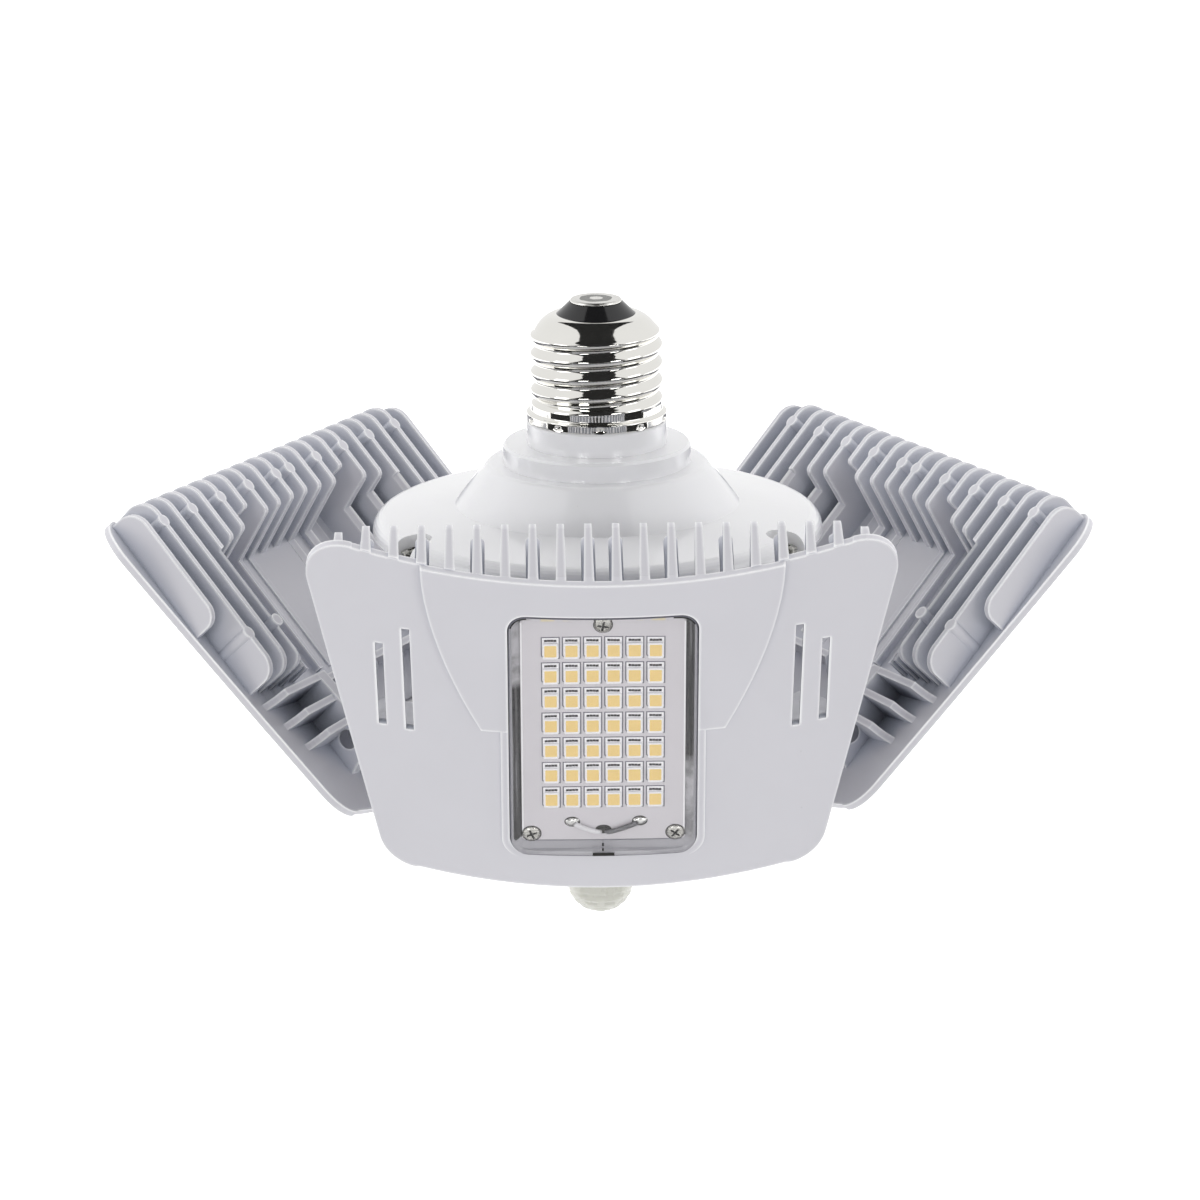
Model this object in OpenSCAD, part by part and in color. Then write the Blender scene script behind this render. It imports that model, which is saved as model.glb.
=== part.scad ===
// Screw-in utility light: three finned LED panels fold out round a driver housing,
// with a motion sensor dome at the bottom. Heights are measured down from the tip contact.

/* [Screw base] */
// Outer diameter of the thread crests
thread_d = 26.3; // [26.1:0.05:26.4]
// Distance between neighbouring thread crests
thread_pitch = 3.63; // [3.4:0.01:3.75]
// Depth of the thread from crest to root
thread_depth = 1.05; // [0.8:0.05:1.2]
// Sheet thickness of the screw shell
shell_wall = 0.4; // [0.3:0.05:0.6]
// Outer diameter of the plain skirt below the thread
skirt_d = 27.8; // [27.2:0.1:28.4]
// Depth of the skirt's lower edge below the tip
skirt_z = 24.3; // [24:0.1:26]
// Diameter of the centre contact
contact_d = 10.2; // [8.8:0.2:11]
// Width of the black insulator where it meets the shell
insulator_d = 15.6; // [14.8:0.2:17]

/* [Top cover] */
// Outer diameter of the neck under the screw shell
neck_d = 27.8; // [27.6:0.1:29]
// Height of the neck
neck_h = 4.7; // [4:0.1:8]
// Diameter of the collar disc
collar_d = 37.3; // [34:0.5:42]
// Height of the collar disc
collar_h = 3.9; // [3:0.1:6]
// Diameter where the cone meets the sloping brim
cone_d = 56.4; // [50:0.5:62]
// Height of the cone between collar and brim
cone_h = 8.3; // [5:0.1:9]
// Diameter of the brim
brim_d = 89.3; // [80:0.1:91]
// Drop of the brim's top face from the cone to the rim
brim_drop = 2.9; // [2:0.1:5]
// Height of the rim's upright edge
rim_h = 3.8; // [3:0.1:6]
// Wall thickness of the plastic cover
cover_wall = 2.0; // [1.6:0.1:2.6]
// Distance of the cover screws from the lamp's axis
cover_screw_r = 41.4; // [38:0.2:41.6]
// Width of the open recess over each cover screw
screw_well_d = 6.4; // [6:0.1:7.4]

/* [Driver housing] */
// Depth of the bowl under the cover's rim
bowl_h = 24; // [20:0.5:25]
// Diameter of the bowl's flat bottom
bowl_bottom_d = 62; // [56:1:70]
// Wall thickness of the bowl
bowl_wall = 2.0; // [1.6:0.1:3]
// Diameter of the driver circuit board
driver_board_d = 60; // [54:1:64]
// Clearance between the driver board and the bowl
driver_board_gap = 0.4; // [0.3:0.1:1]

/* [Hinge hub] */
// Outer diameter of the hub's column
column_d = 48; // [44:0.5:49]
// Height of the hub's column
column_h = 36; // [34:0.5:38]
// Wall thickness of the column
column_wall = 3; // [2.4:0.1:4]
// Distance of each hinge axis from the lamp's axis
hinge_r = 42.4; // [41.8:0.1:44]
// Depth of the hinge axes below the tip
hinge_z = 89.4; // [88:0.1:91]
// Diameter of the hinge pins
pin_d = 4; // [3:0.1:4.4]
// Running clearance round a hinge pin
pin_clearance = 0.05; // [0.02:0.01:0.1]
// Outer diameter of the knuckles on the hub's arms
knuckle_d = 8.6; // [7:0.1:8.8]
// Width of each hub arm over both knuckles
arm_w = 47.2; // [42:0.2:48]
// Width of the cable gap between the two knuckles
arm_gap = 18; // [12:0.5:22]

/* [Sensor] */
// Height of the bottom cap
cap_h = 4.4; // [3.4:0.1:6]
// Diameter of the raised ring round the sensor dome
bezel_d = 21; // [18:0.5:26]
// Height of the raised ring
bezel_h = 5.8; // [3:0.1:6]
// Diameter of the sensor dome
dome_d = 13.8; // [12:0.1:15]
// Wall thickness of the sensor dome
dome_wall = 0.9; // [0.6:0.05:1.2]

/* [Panel] */
// Length of a panel from its hinge end to its free end
panel_l = 76; // [74:0.5:80]
// Width of a panel at its hinge end
narrow_w = 83.4; // [80:0.5:86]
// Width of a panel at its free end
wide_w = 115.4; // [110:0.5:118]
// Radius of the panel's crosswise curve
panel_r = 150; // [140:1:170]
// Thickness of the panel's cast skin
skin = 1.7; // [1.5:0.1:2]
// Corner radius at the free end
wide_corner = 8; // [5:0.5:10]
// Corner radius at the hinge end
narrow_corner = 8; // [5:0.5:10]
// Depth of the hollow in the free end's edge
wide_bow = 3.5; // [2:0.1:4.5]
// Bulge of the hinge end's edge
narrow_bow = 2.1; // [1:0.1:3]
// Step of the raised shield at the free end
shield_step = 1.4; // [0.8:0.1:1.6]
// Step of the raised shield at its lower edge
shield_low_step = 0.5; // [0.3:0.1:0.8]
// Height of the shield's lower edge above the hinge end
shield_z = 36.9; // [34:0.5:40]
// Tilt of the front panel from upright
tilt_front = 20.3; // [6:0.1:88]
// Tilt of the left panel from upright
tilt_left = 43.4; // [6:0.1:88]
// Tilt of the right panel from upright
tilt_right = 44.3; // [6:0.1:88]

/* [Fins] */
// Distance between neighbouring fins
fin_pitch = 5.23; // [5:0.01:5.3]
// Depth of the fin tips behind the panel's front
fin_depth = 17.2; // [16:0.1:18.5]
// Thickness of a fin at its tip
fin_tip = 1.2; // [1:0.05:1.5]
// Thickness of a fin at its root
fin_root = 2.0; // [1.6:0.05:2.4]
// Height where the fins start above the hinge end
fin_z = 31.8; // [30.5:0.1:36]
// Corner radius of the fins at the free end
fin_round = 4.5; // [3:0.1:6]
// Clearance radius of the hollow that the folded panel leaves round the hub
hollow_r = 48.5; // [47.4:0.1:49]
// Height of the hollow's upper end above the hinge end
hollow_z = 59.4; // [59:0.1:62]
// Slope of the hollow's upper end
hollow_slope = 0.288; // [0.27:0.002:0.3]
// Corner radius of the fins above the hollow
hollow_round = 1.5; // [0.8:0.1:1.8]
// Diameter of the round casting bosses on the fins
boss_d = 2.7; // [2.2:0.1:3.2]
// Thickness of the cross ribs at the hinge end
rib_t = 1.5; // [1.2:0.1:2]
// Thickness of the hinge ears
ear_t = 2.8; // [2.2:0.1:3.2]
// Height of the hinge axis above the panel's hinge end
hinge_up = 15; // [14.5:0.1:15.8]
// Depth of the hinge axis behind the panel's front
hinge_back = 8.5; // [8:0.1:9]

/* [Window] */
// Width of the lens pocket
window_w = 36.2; // [35.6:0.1:37]
// Height of the pocket's lower edge
window_z = 7.7; // [7.4:0.1:8.4]
// Height of the pocket
window_h = 57.3; // [56.5:0.1:58]
// Depth of the pocket's floor behind the panel's front
pocket_d = 1.9; // [1.8:0.05:2]
// Thickness of the metal under the pocket
pocket_floor = 0.9; // [0.8:0.05:1]
// Thickness of the lens
lens_t = 0.8; // [0.6:0.05:0.85]
// Width of the LED board
board_w = 31.2; // [30:0.1:31.6]
// Height of the LED board's lower edge
board_z = 11.1; // [10.5:0.1:12]
// Thickness of the LED board
board_t = 1.0; // [0.8:0.05:1.1]
// Number of LEDs across the board
led_cols = 6; // [2:1:7]
// Number of LED rows
led_rows = 7; // [2:1:7]
// Distance between LEDs across the board
led_col_pitch = 3.98; // [3.6:0.01:4.1]
// Distance between LED rows
led_row_pitch = 5.89; // [4.6:0.01:5.95]
// Height of the lowest LED row above the hinge end
led_z = 20.9; // [20.5:0.1:21.5]

/* [Hidden] */
$fn = 64;

// The part's origin lies on the axis at the middle of the thread
thread_turns = 4;
first_crest_z = 7.4;
crest_land = 0.8;
tip_z = first_crest_z + (thread_turns - 1) * thread_pitch / 2;

// Turn of each panel about the lamp's axis
turn_front = 0;
turn_left = -120;
turn_right = 120;

// Heights of the cover's steps below the tip
neck_z = skirt_z + neck_h;
collar_z = neck_z + collar_h;
cone_z = collar_z + cone_h;
rim_z = cone_z + brim_drop;
rim_low_z = rim_z + rim_h;
cone_shoulder = 2.25;
seam = 0.3;
bowl_z = rim_low_z + bowl_h;
column_top_z = bowl_z;
column_low_z = column_top_z + column_h;
cap_low_z = column_low_z + cap_h;
bezel_low_z = cap_low_z + bezel_h;
dome_r = dome_d / 2;
screw_r = 1.5;
screw_head_r = 2.8;
screw_head_h = 1.8;
boss_r = 3.6;
brim_slope = brim_drop / (brim_d / 2 - cone_d / 2);
well_floor_z = rim_z + 2.6;
well_wall = 1.2;
cover_boss_r = 2.9;
cover_boss_h = 12;

// Profile of the bowl: upper rim, end of the steep side and round edge at the bottom
bowl_rim_r = brim_d / 2 - 2.6;
bowl_side_r = bowl_rim_r - 0.6;
bowl_side_h = 9;
bowl_bend = 7;
bowl_flare = 1.5;
board_t_driver = 1.6;
board_post_r = 2.4;
board_post_inset = 5;
// Depth where the bowl's inner side leaves room for the driver board, or where its round edge starts
bowl_low_r = bowl_bottom_d / 2 - bowl_wall + bowl_flare - bowl_bend * (1 - cos(20));
bowl_low_z = bowl_z - bowl_wall - bowl_bend * (1 - sin(20));
board_seat = max(0, (driver_board_d / 2 + driver_board_gap - bowl_low_r)
                    / (bowl_side_r - bowl_wall - bowl_low_r));
driver_board_z = bowl_low_z - board_seat * (bowl_low_z - rim_low_z - bowl_side_h);

// Hinge arms: depth of the cable gap, and the pockets under the web
gap_reach = 14;
arm_pocket = 9;
arm_pocket_y = 8;
washer_r = 3.9;

// Panel values
fin_count = 20;
lens_gap = 0.15;
lens_proud = shield_step - 0.2;
lens_skirt = 1.3;
gasket_t = 0.4;
board_y = pocket_d - board_t;
board_top = window_z + window_h - lens_gap - lens_skirt - 0.25;
board_h = board_top - board_z;
ear_out = arm_w / 2 + 0.9 + ear_t;
ear_in = ear_out - ear_t;
ear_r = 5;
washer_t = 0.6;
pin_r = pin_d / 2;
press_gap = 0.02;
edge = 0.1;
led_w = 2.9;
led_h = 3.5;
led_t = 0.6;
led_side = (led_cols - 1) * led_col_pitch / 2;
board_screw_r = 1.95;
board_screw_x = board_w / 2 - 1.8;
board_screw_z = board_z + 1.5;
top_screw_z = board_top - 2;
lead_hole_w = 3.2;
lead_hole_z = board_z + 1.3;
lead_hole_h = 2.2;

// Depth of the panel's curved front behind its crown
function sag(x) = panel_r - sqrt(panel_r * panel_r - x * x);
// Half of the panel's width at height z
function side(z) = (narrow_w + (wide_w - narrow_w) * z / panel_l) / 2;
// Crosswise position of fin k, counted from the middle
function fin_x(k) = (k - (fin_count - 1) / 2) * fin_pitch;
// Half of the shield's width at height z
function shield_side(z) = 34.3 - 11 * pow((panel_l - 2 - z) / (panel_l - 2 - shield_z), 1.75);
// Points on an arc from angle a to angle b
function arc(cx, cy, r, a, b, steps) =
    [for (i = [0:steps]) let (t = a + (b - a) * i / steps) [cx + r * cos(t), cy + r * sin(t)]];
// Height of the bowed edges at crosswise position x
function wide_z(x) = panel_l - wide_bow + wide_bow * pow(x / 50, 2);
function narrow_z(x) = -narrow_bow / 3 + narrow_bow * pow(x / 34, 2);

module from_tip() {
    translate([0, 0, tip_z]) children();
}

module at_hinge(turn) {
    rotate([0, 0, turn]) from_tip() translate([0, -hinge_r, -hinge_z]) children();
}

module at_panel(turn, tilt) {
    at_hinge(turn) rotate([tilt, 0, 0]) translate([0, -hinge_back, -hinge_up]) children();
}

// Extrudes an outline drawn in the panel's face from depth y0 to depth y1
module through(y0, y1) {
    translate([0, y1, 0]) rotate([90, 0, 0]) linear_extrude(y1 - y0) children();
}

// Extrudes a profile of depth and height along the panel's width
module along_x(x0, x1) {
    translate([x0, 0, 0]) rotate([90, 0, 90]) linear_extrude(x1 - x0) children();
}

module rounded_rect(w, z0, h, r) {
    translate([-w / 2 + r, z0]) square([w - 2 * r, h]);
    translate([-w / 2, z0 + r]) square([w, h - 2 * r]);
    for (x = [-w / 2 + r, w / 2 - r])
        for (z = [z0 + r, z0 + h - r])
            translate([x, z]) circle(r = r);
}

// Screw base

module contact_tip() {
    color("silver") from_tip() translate([0, 0, -2.4]) rotate_extrude()
        polygon(concat([[0, 0], [contact_d / 2 - 0.6, 0]],
                       [[contact_d / 2 - 0.6, 1.8], [contact_d / 2, 1.9]],
                       arc(contact_d / 2 - 0.4, 2.0, 0.4, 0, 90, 6), [[0, 2.4]]));
}

module base_insulator() {
    root_r = insulator_d / 2;
    color("#1b1b1d") from_tip() rotate_extrude()
        polygon([[2.2, -2.4], [contact_d / 2 - 0.6, -2.4], [contact_d / 2 - 0.6, -0.6],
                 [contact_d / 2 + 0.2, -0.6], [root_r, -3.0], [root_r, -4.6], [4.4, -6.2], [2.2, -6.2]]);
}

module screw_shell() {
    crest_r = thread_d / 2;
    root_r = crest_r - thread_depth;
    half = thread_pitch / 2;
    land = crest_land / 2;
    shell = concat(
        [[insulator_d / 2, -3.0], [9.6, -3.4], [11.3, -4.7], [root_r, -first_crest_z + half]],
        [for (i = [0:thread_turns - 1])
            for (p = [[root_r + 0.15, half * 0.72], [crest_r - 0.12, land + 0.32], [crest_r, land],
                      [crest_r, -land], [crest_r - 0.12, -land - 0.32], [root_r + 0.15, -half * 0.72]])
                [p[0], -first_crest_z - i * thread_pitch + p[1]]],
        [[root_r + 0.1, -skirt_z + 3.6], [root_r + 0.3, -skirt_z + 2.6],
         [skirt_d / 2, -skirt_z + 1.8], [skirt_d / 2, -skirt_z]]);
    inner = [[skirt_d / 2 - shell_wall, -skirt_z], [skirt_d / 2 - shell_wall, -skirt_z + 1.5],
             [root_r - shell_wall, -skirt_z + 2.4], [root_r - shell_wall, -6.4],
             [insulator_d / 2, -5.0]];
    color("#c9c7c0") from_tip() rotate_extrude($fn = 96) polygon(concat(shell, inner));
}

// Cover, housing and hub

module cover_outline(inset) {
    r1 = neck_d / 2 - inset;
    r2 = collar_d / 2 - inset;
    r3 = cone_d / 2 - inset * 0.7;
    r4 = brim_d / 2 - inset;
    polygon(concat(
        [[0, -skirt_z - inset], [r1 - 0.4, -skirt_z - inset], [r1, -skirt_z - inset - 0.4]],
        [[r1, -neck_z - inset], [r2 - 0.5, -neck_z - inset], [r2, -neck_z - inset - 0.5]],
        [[r2, -collar_z - inset * 0.6]],
        arc(r2 + cone_shoulder, -collar_z - inset * 0.6 - 2.0, 1.9, 88, 39, 5),
        [[r3, -cone_z - inset * 1.1]],
        arc(r4 - 3, -rim_z - inset - 3 + 0.8, 3, 90 - atan(brim_slope), 0, 6),
        [[r4, -rim_low_z + 0.9], [r4 - 0.7, -rim_low_z], [0, -rim_low_z]]));
}

module screw_spots(r) {
    for (a = [0, 120, 240])
        rotate([0, 0, a]) translate([0, r, 0]) children();
}

// Recess over a cover screw: round towards the axis and open at the rim
module notch(r, z0, h) {
    translate([0, 0, z0]) cylinder(r = r, h = h);
    translate([-r, 0, z0]) cube([2 * r, 9, h]);
}

module top_cover() {
    color("white") from_tip() difference() {
        union() {
            difference() {
                rotate_extrude($fn = 128) cover_outline(0);
                translate([0, 0, -skirt_z - 1]) cylinder(r = neck_d / 2 - 3.0, h = 2);
                intersection() {
                    rotate_extrude($fn = 96) cover_outline(cover_wall);
                    translate([0, 0, -rim_low_z - 1]) cylinder(r = brim_d / 2 - cover_wall, h = 60);
                }
                translate([0, 0, -rim_low_z - 1]) cylinder(r = brim_d / 2 - cover_wall, h = 3.2);
            }
            intersection() {
                screw_spots(cover_screw_r) notch(screw_well_d / 2 + well_wall, -rim_low_z, rim_h + 6);
                rotate_extrude($fn = 96) cover_outline(0.6);
            }
        }
        screw_spots(cover_screw_r) {
            notch(screw_well_d / 2, -well_floor_z, 20);
            translate([0, 0, -rim_low_z - 1]) cylinder(r = screw_r + 0.2, h = 20);
        }
    }
}

module pan_screw(length, head_r, head_h, shank_r) {
    difference() {
        union() {
            translate([0, 0, -length]) cylinder(r = shank_r, h = length + 0.2);
            intersection() {
                cylinder(r = head_r, h = head_h);
                translate([0, 0, head_h - 2.2 * head_r]) sphere(r = 2.2 * head_r);
            }
        }
        for (a = [0, 90])
            rotate([0, 0, a])
                translate([-head_r * 0.6, -head_r * 0.13, head_h * 0.45])
                    cube([head_r * 1.2, head_r * 0.26, head_h]);
    }
}

module cover_screws() {
    color("silver") from_tip() screw_spots(cover_screw_r)
        translate([0, 0, -well_floor_z]) pan_screw(8, screw_head_r, screw_head_h, screw_r);
}

module bowl_outline(inset, lift) {
    low_r = bowl_bottom_d / 2 - inset + bowl_flare - bowl_bend;
    polygon(concat([[0, -rim_low_z + lift], [bowl_rim_r - inset, -rim_low_z + lift]],
                   [[bowl_side_r - inset, -rim_low_z - bowl_side_h]],
                   arc(low_r, -bowl_z + inset + bowl_bend, bowl_bend, -20, -90, 8),
                   [[0, -bowl_z + inset]]));
}

module driver_housing() {
    spigot_r = brim_d / 2 - cover_wall - seam;
    color("white") from_tip() difference() {
        union() {
            rotate_extrude($fn = 96) bowl_outline(0, -seam);
            translate([0, 0, -rim_low_z - seam - 0.4]) cylinder(r = spigot_r, h = 1.9);
            screw_spots(cover_screw_r)
                translate([0, 0, -rim_low_z - cover_boss_h]) cylinder(r = cover_boss_r, h = cover_boss_h);
        }
        difference() {
            rotate_extrude($fn = 96) bowl_outline(bowl_wall, 4);
            screw_spots(cover_screw_r)
                translate([0, 0, -rim_low_z - cover_boss_h]) cylinder(r = cover_boss_r, h = cover_boss_h);
            for (a = [0, 120, 240])
                rotate([0, 0, a + 60]) translate([0, driver_board_d / 2 - board_post_inset, -bowl_z])
                    cylinder(r = board_post_r, h = bowl_z - driver_board_z);
        }
        screw_spots(cover_screw_r) {
            translate([0, 0, -rim_low_z - 9.4]) cylinder(r = screw_r + 0.02, h = 12);
            notch(screw_well_d / 2 + well_wall + 0.3, -rim_low_z, 8);
        }
        translate([0, 0, -bowl_z - 1]) cylinder(r = 5, h = bowl_wall + 2);
        screw_spots(column_d / 2 - 8)
            translate([0, 0, -bowl_z - 1]) cylinder(r = screw_r + 0.2, h = bowl_wall + 2);
    }
}

module driver_board() {
    color("#2f6b3c") from_tip() difference() {
        translate([0, 0, -driver_board_z]) cylinder(r = driver_board_d / 2, h = board_t_driver);
        translate([0, 0, -bowl_z]) cylinder(r = 3, h = 20);
    }
}

module driver_transformer() {
    board_top = driver_board_z - board_t_driver;
    color("#c9a23a") from_tip() translate([-8, 9, -board_top]) {
        translate([-9, -7, 0]) cube([18, 14, 2.4]);
        translate([-7, -5, 2.4]) cube([14, 10, 6.6]);
        translate([-9, -7, 9]) cube([18, 14, 2.4]);
    }
}

module driver_capacitors() {
    board_top = driver_board_z - board_t_driver;
    color("#22242c") from_tip() for (p = [[14, 6, 5, 14], [12, -10, 4, 11], [-15, -12, 3.2, 9]])
        translate([p[0], p[1], -board_top]) cylinder(r = p[2], h = p[3]);
}

// One arm reaches from the column to a panel's hinge and ends in two knuckles
module hub_arm() {
    inner_y = hinge_r - 16;
    knuckle_r = knuckle_d / 2;
    web = knuckle_r * 0.8;
    difference() {
        union() {
            along_x(-arm_w / 2, arm_w / 2) circle(r = knuckle_r);
            along_x(-arm_w / 2, arm_w / 2)
                polygon([[0, -web], [0, web], [inner_y - 12, web], [inner_y, web + 7],
                         [hinge_r - 14, web + 7], [hinge_r - 14, -web]]);
        }
        along_x(-arm_w / 2 - 1, arm_w / 2 + 1) circle(r = pin_r + pin_clearance);
        translate([-arm_gap / 2, -knuckle_r - 1, -knuckle_r - 1])
            cube([arm_gap, gap_reach, knuckle_d + 2]);
        for (x = [-1, 1])
            translate([x * (arm_w + arm_gap) / 4 - arm_pocket / 2, arm_pocket_y, -web - 1])
                cube([arm_pocket, arm_pocket, web]);
    }
}

module hinge_hub() {
    inner_r = column_d / 2 - column_wall;
    color("#e6e6ea") difference() {
        union() {
            from_tip() translate([0, 0, -column_low_z]) cylinder(r = column_d / 2, h = column_h);
            for (turn = [turn_front, turn_left, turn_right])
                at_hinge(turn) hub_arm();
        }
        from_tip() {
            difference() {
                translate([0, 0, -column_low_z - 1]) cylinder(r = inner_r, h = column_h - 2);
                screw_spots(column_d / 2 - 8)
                    translate([0, 0, -column_top_z]) mirror([0, 0, 1]) cylinder(r = boss_r, h = 12);
                rotate([0, 0, 60]) screw_spots(inner_r - 2)
                    translate([0, 0, -column_low_z]) cylinder(r = boss_r, h = column_h);
            }
            translate([0, 0, -column_top_z - 4]) cylinder(r = 5, h = 8);
            screw_spots(column_d / 2 - 8) translate([0, 0, -column_top_z - 9])
                cylinder(r = screw_r + 0.02, h = 12);
            rotate([0, 0, 60]) screw_spots(inner_r - 2) translate([0, 0, -column_low_z - 1])
                cylinder(r = screw_r + 0.02, h = 11);
        }
    }
}

module hub_screws() {
    color("silver") from_tip() screw_spots(column_d / 2 - 8)
        translate([0, 0, -bowl_z + bowl_wall]) pan_screw(8, screw_head_r, screw_head_h, screw_r);
}

// Sensor under the hub

module bottom_cap() {
    cap_r = column_d / 2;
    color("white") from_tip() difference() {
        union() {
            rotate_extrude($fn = 96)
                polygon(concat([[0, -column_low_z], [cap_r, -column_low_z]],
                               arc(cap_r - 2.4, -cap_low_z + 2.4, 2.4, 0, -90, 6),
                               [[bezel_d / 2 + 1.6, -cap_low_z], [bezel_d / 2, -cap_low_z - 1.2]],
                               arc(bezel_d / 2 - 1.2, -bezel_low_z + 1.2, 1.2, 0, -90, 5),
                               [[0, -bezel_low_z]]));
            difference() {
                translate([0, 0, -column_low_z - 0.5])
                    cylinder(r = column_d / 2 - column_wall - 0.3, h = 2.5);
                rotate([0, 0, 60]) screw_spots(column_d / 2 - column_wall - 2)
                    translate([0, 0, -column_low_z - 0.3]) cylinder(r = boss_r + 0.2, h = 6);
            }
        }
        translate([0, 0, -bezel_low_z - 1]) cylinder(r = dome_r + 0.1, h = 30);
        translate([0, 0, -bezel_low_z + 2]) cylinder(r = bezel_d / 2 - 1.6, h = 30);
        rotate([0, 0, 60]) screw_spots(column_d / 2 - column_wall - 2) {
            translate([0, 0, -column_low_z - 10]) cylinder(r = screw_r + 0.2, h = 20);
            translate([0, 0, -column_low_z - 10]) cylinder(r = screw_head_r + 0.2, h = 10 - 1.8);
        }
    }
}

module cap_screws() {
    color("silver") from_tip() rotate([0, 0, 60]) screw_spots(column_d / 2 - column_wall - 2)
        translate([0, 0, -column_low_z - 1.8]) mirror([0, 0, 1])
            pan_screw(8, screw_head_r, screw_head_h, screw_r);
}

module sensor_dome() {
    flange_z = bezel_low_z - 2;
    centre_z = bezel_low_z + 1.9;
    color("#f3f1ea") from_tip() difference() {
        union() {
            translate([0, 0, -flange_z]) cylinder(r = bezel_d / 2 - 1.8, h = 1.2);
            translate([0, 0, -centre_z]) cylinder(r = dome_r, h = centre_z - flange_z);
            translate([0, 0, -centre_z]) sphere(r = dome_r);
        }
        translate([0, 0, -centre_z]) cylinder(r = dome_r - dome_wall, h = 20);
        translate([0, 0, -centre_z]) sphere(r = dome_r - dome_wall);
    }
}

module sensor_board() {
    color("#2f6b3c") from_tip() translate([0, 0, -bezel_low_z + 3.2])
        cylinder(r = bezel_d / 2 - 1.8, h = 1.2);
}

module sensor_element() {
    color("#b9b9b2") from_tip() translate([0, 0, -bezel_low_z + 3.2]) mirror([0, 0, 1]) {
        cylinder(r = 4.7, h = 0.6);
        translate([0, 0, 0.6]) cylinder(r = 4.1, h = 3.4);
    }
}

// Finned panel

module panel_outline() {
    wide_in = wide_w / 2 - wide_corner - 1.1;
    narrow_in = narrow_w / 2 - narrow_corner - 0.2;
    lean = atan((wide_w - narrow_w) / 2 / panel_l);
    wide_c = [side(panel_l - wide_corner) - wide_corner * cos(lean) - wide_corner * 0.02,
              wide_z(wide_in) - wide_corner];
    narrow_c = [side(narrow_z(narrow_in) + narrow_corner) - narrow_corner / cos(lean) + 0.05,
                narrow_z(narrow_in) + narrow_corner];
    half = concat(
        [for (i = [0:12]) let (x = narrow_c[0] * i / 12) [x, narrow_z(x)]],
        arc(narrow_c[0], narrow_c[1], narrow_corner, -82, -lean, 10),
        arc(wide_c[0], wide_c[1], wide_corner, -lean, 96, 12),
        [for (i = [12:-1:0]) let (x = (wide_c[0] - 1) * i / 12) [x, wide_z(x)]]);
    polygon(half);
    mirror([1, 0]) polygon(half);
}

module shield_outline() {
    steps = 10;
    top = panel_l - 2;
    half = concat([[0, shield_z], [shield_side(shield_z), shield_z]],
                  [for (i = [1:steps]) let (z = shield_z + (top - shield_z) * i / steps)
                      [shield_side(z), z]],
                  [[34.3, panel_l + 4], [0, panel_l + 4]]);
    polygon(half);
    mirror([1, 0]) polygon(half);
}

// The shield swells a little more than the skin and stands out most at the free end
module shield_body(inset, far) {
    low_r = panel_r + shield_low_step - inset;
    high_r = panel_r + shield_step - inset;
    rise = (high_r - low_r) / (panel_l - 2 - shield_z);
    translate([0, panel_r, shield_z - 1])
        cylinder(r1 = low_r - rise, r2 = high_r + rise * far, h = panel_l - 2 - shield_z + 1 + far,
                 $fn = 192);
}

module skin_shell() {
    difference() {
        intersection() {
            through(-3, 20) panel_outline();
            translate([0, panel_r, -5]) cylinder(r = panel_r, h = panel_l + 10, $fn = 192);
        }
        translate([0, panel_r, -6]) cylinder(r = panel_r - skin, h = panel_l + 12, $fn = 192);
    }
}

module shield_shell() {
    intersection() {
        through(-3, 8) intersection() {
            panel_outline();
            shield_outline();
        }
        difference() {
            shield_body(0, 4);
            translate([0, panel_r, shield_z - 2])
                cylinder(r = panel_r - 1, h = panel_l, $fn = 192);
        }
    }
}

module fin_profile(x, z0, z1, low_round) {
    top_round = fin_round;
    difference() {
        fin_blank(z0, z1, low_round, top_round);
        polygon([[-3, min(wide_z(x), z1)], [skin, min(wide_z(x), z1)], [fin_depth - top_round, z1],
                 [fin_depth - top_round, z1 + 1], [-3, z1 + 1]]);
    }
}

module fin_blank(z0, z1, low_round, top_round) {
    square_z = z0 + low_round;
    translate([-2, z0]) square([fin_depth + 2 - low_round, square_z - z0]);
    translate([-2, square_z]) square([fin_depth + 2, z1 - top_round - square_z]);
    translate([-2, z1 - top_round]) square([fin_depth + 2 - top_round, top_round]);
    translate([fin_depth - low_round, square_z]) circle(r = low_round);
    translate([fin_depth - top_round, z1 - top_round]) circle(r = top_round);
}

module fin(k, z0, z1, low_round) {
    x = fin_x(k);
    half = fin_root / 2;
    intersection() {
        linear_extrude(panel_l + 2)
            polygon([[x - half, sag(x - half) + edge], [x + half, sag(x + half) + edge],
                     [x + fin_tip / 2, fin_depth], [x - fin_tip / 2, fin_depth]]);
        along_x(x - half - 1, x + half + 1) fin_profile(x, z0, z1, low_round);
    }
}

// What the folded panel must clear: the round rim of the cover and its sloping brim
module hub_hollow() {
    translate([0, hinge_back + hinge_r, 0]) {
        cylinder(r = hollow_r, h = hollow_z, $fn = 128);
        translate([0, 0, hollow_z])
            cylinder(r1 = hollow_r, r2 = 0, h = hollow_r * hollow_slope, $fn = 128);
    }
}

// Rounds the corner where a fin's tip meets the hollow's upper end
module hollow_corner(x) {
    back = hinge_back + hinge_r - fin_depth;
    reach = norm([x, back]);
    z = hollow_z + (hollow_r - reach) * hollow_slope;
    lean = atan(hollow_slope * back / reach);
    run = hollow_round / tan(45 + lean / 2);
    cut = arc(fin_depth - hollow_round, z + run, hollow_round, 0, lean - 90, 6);
    along_x(x - fin_root, x + fin_root)
        polygon(concat([[fin_depth + 1, z + run]], cut,
                       [[fin_depth - run, z - 1.5], [fin_depth + 1, z - 1.5]]));
}

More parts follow.
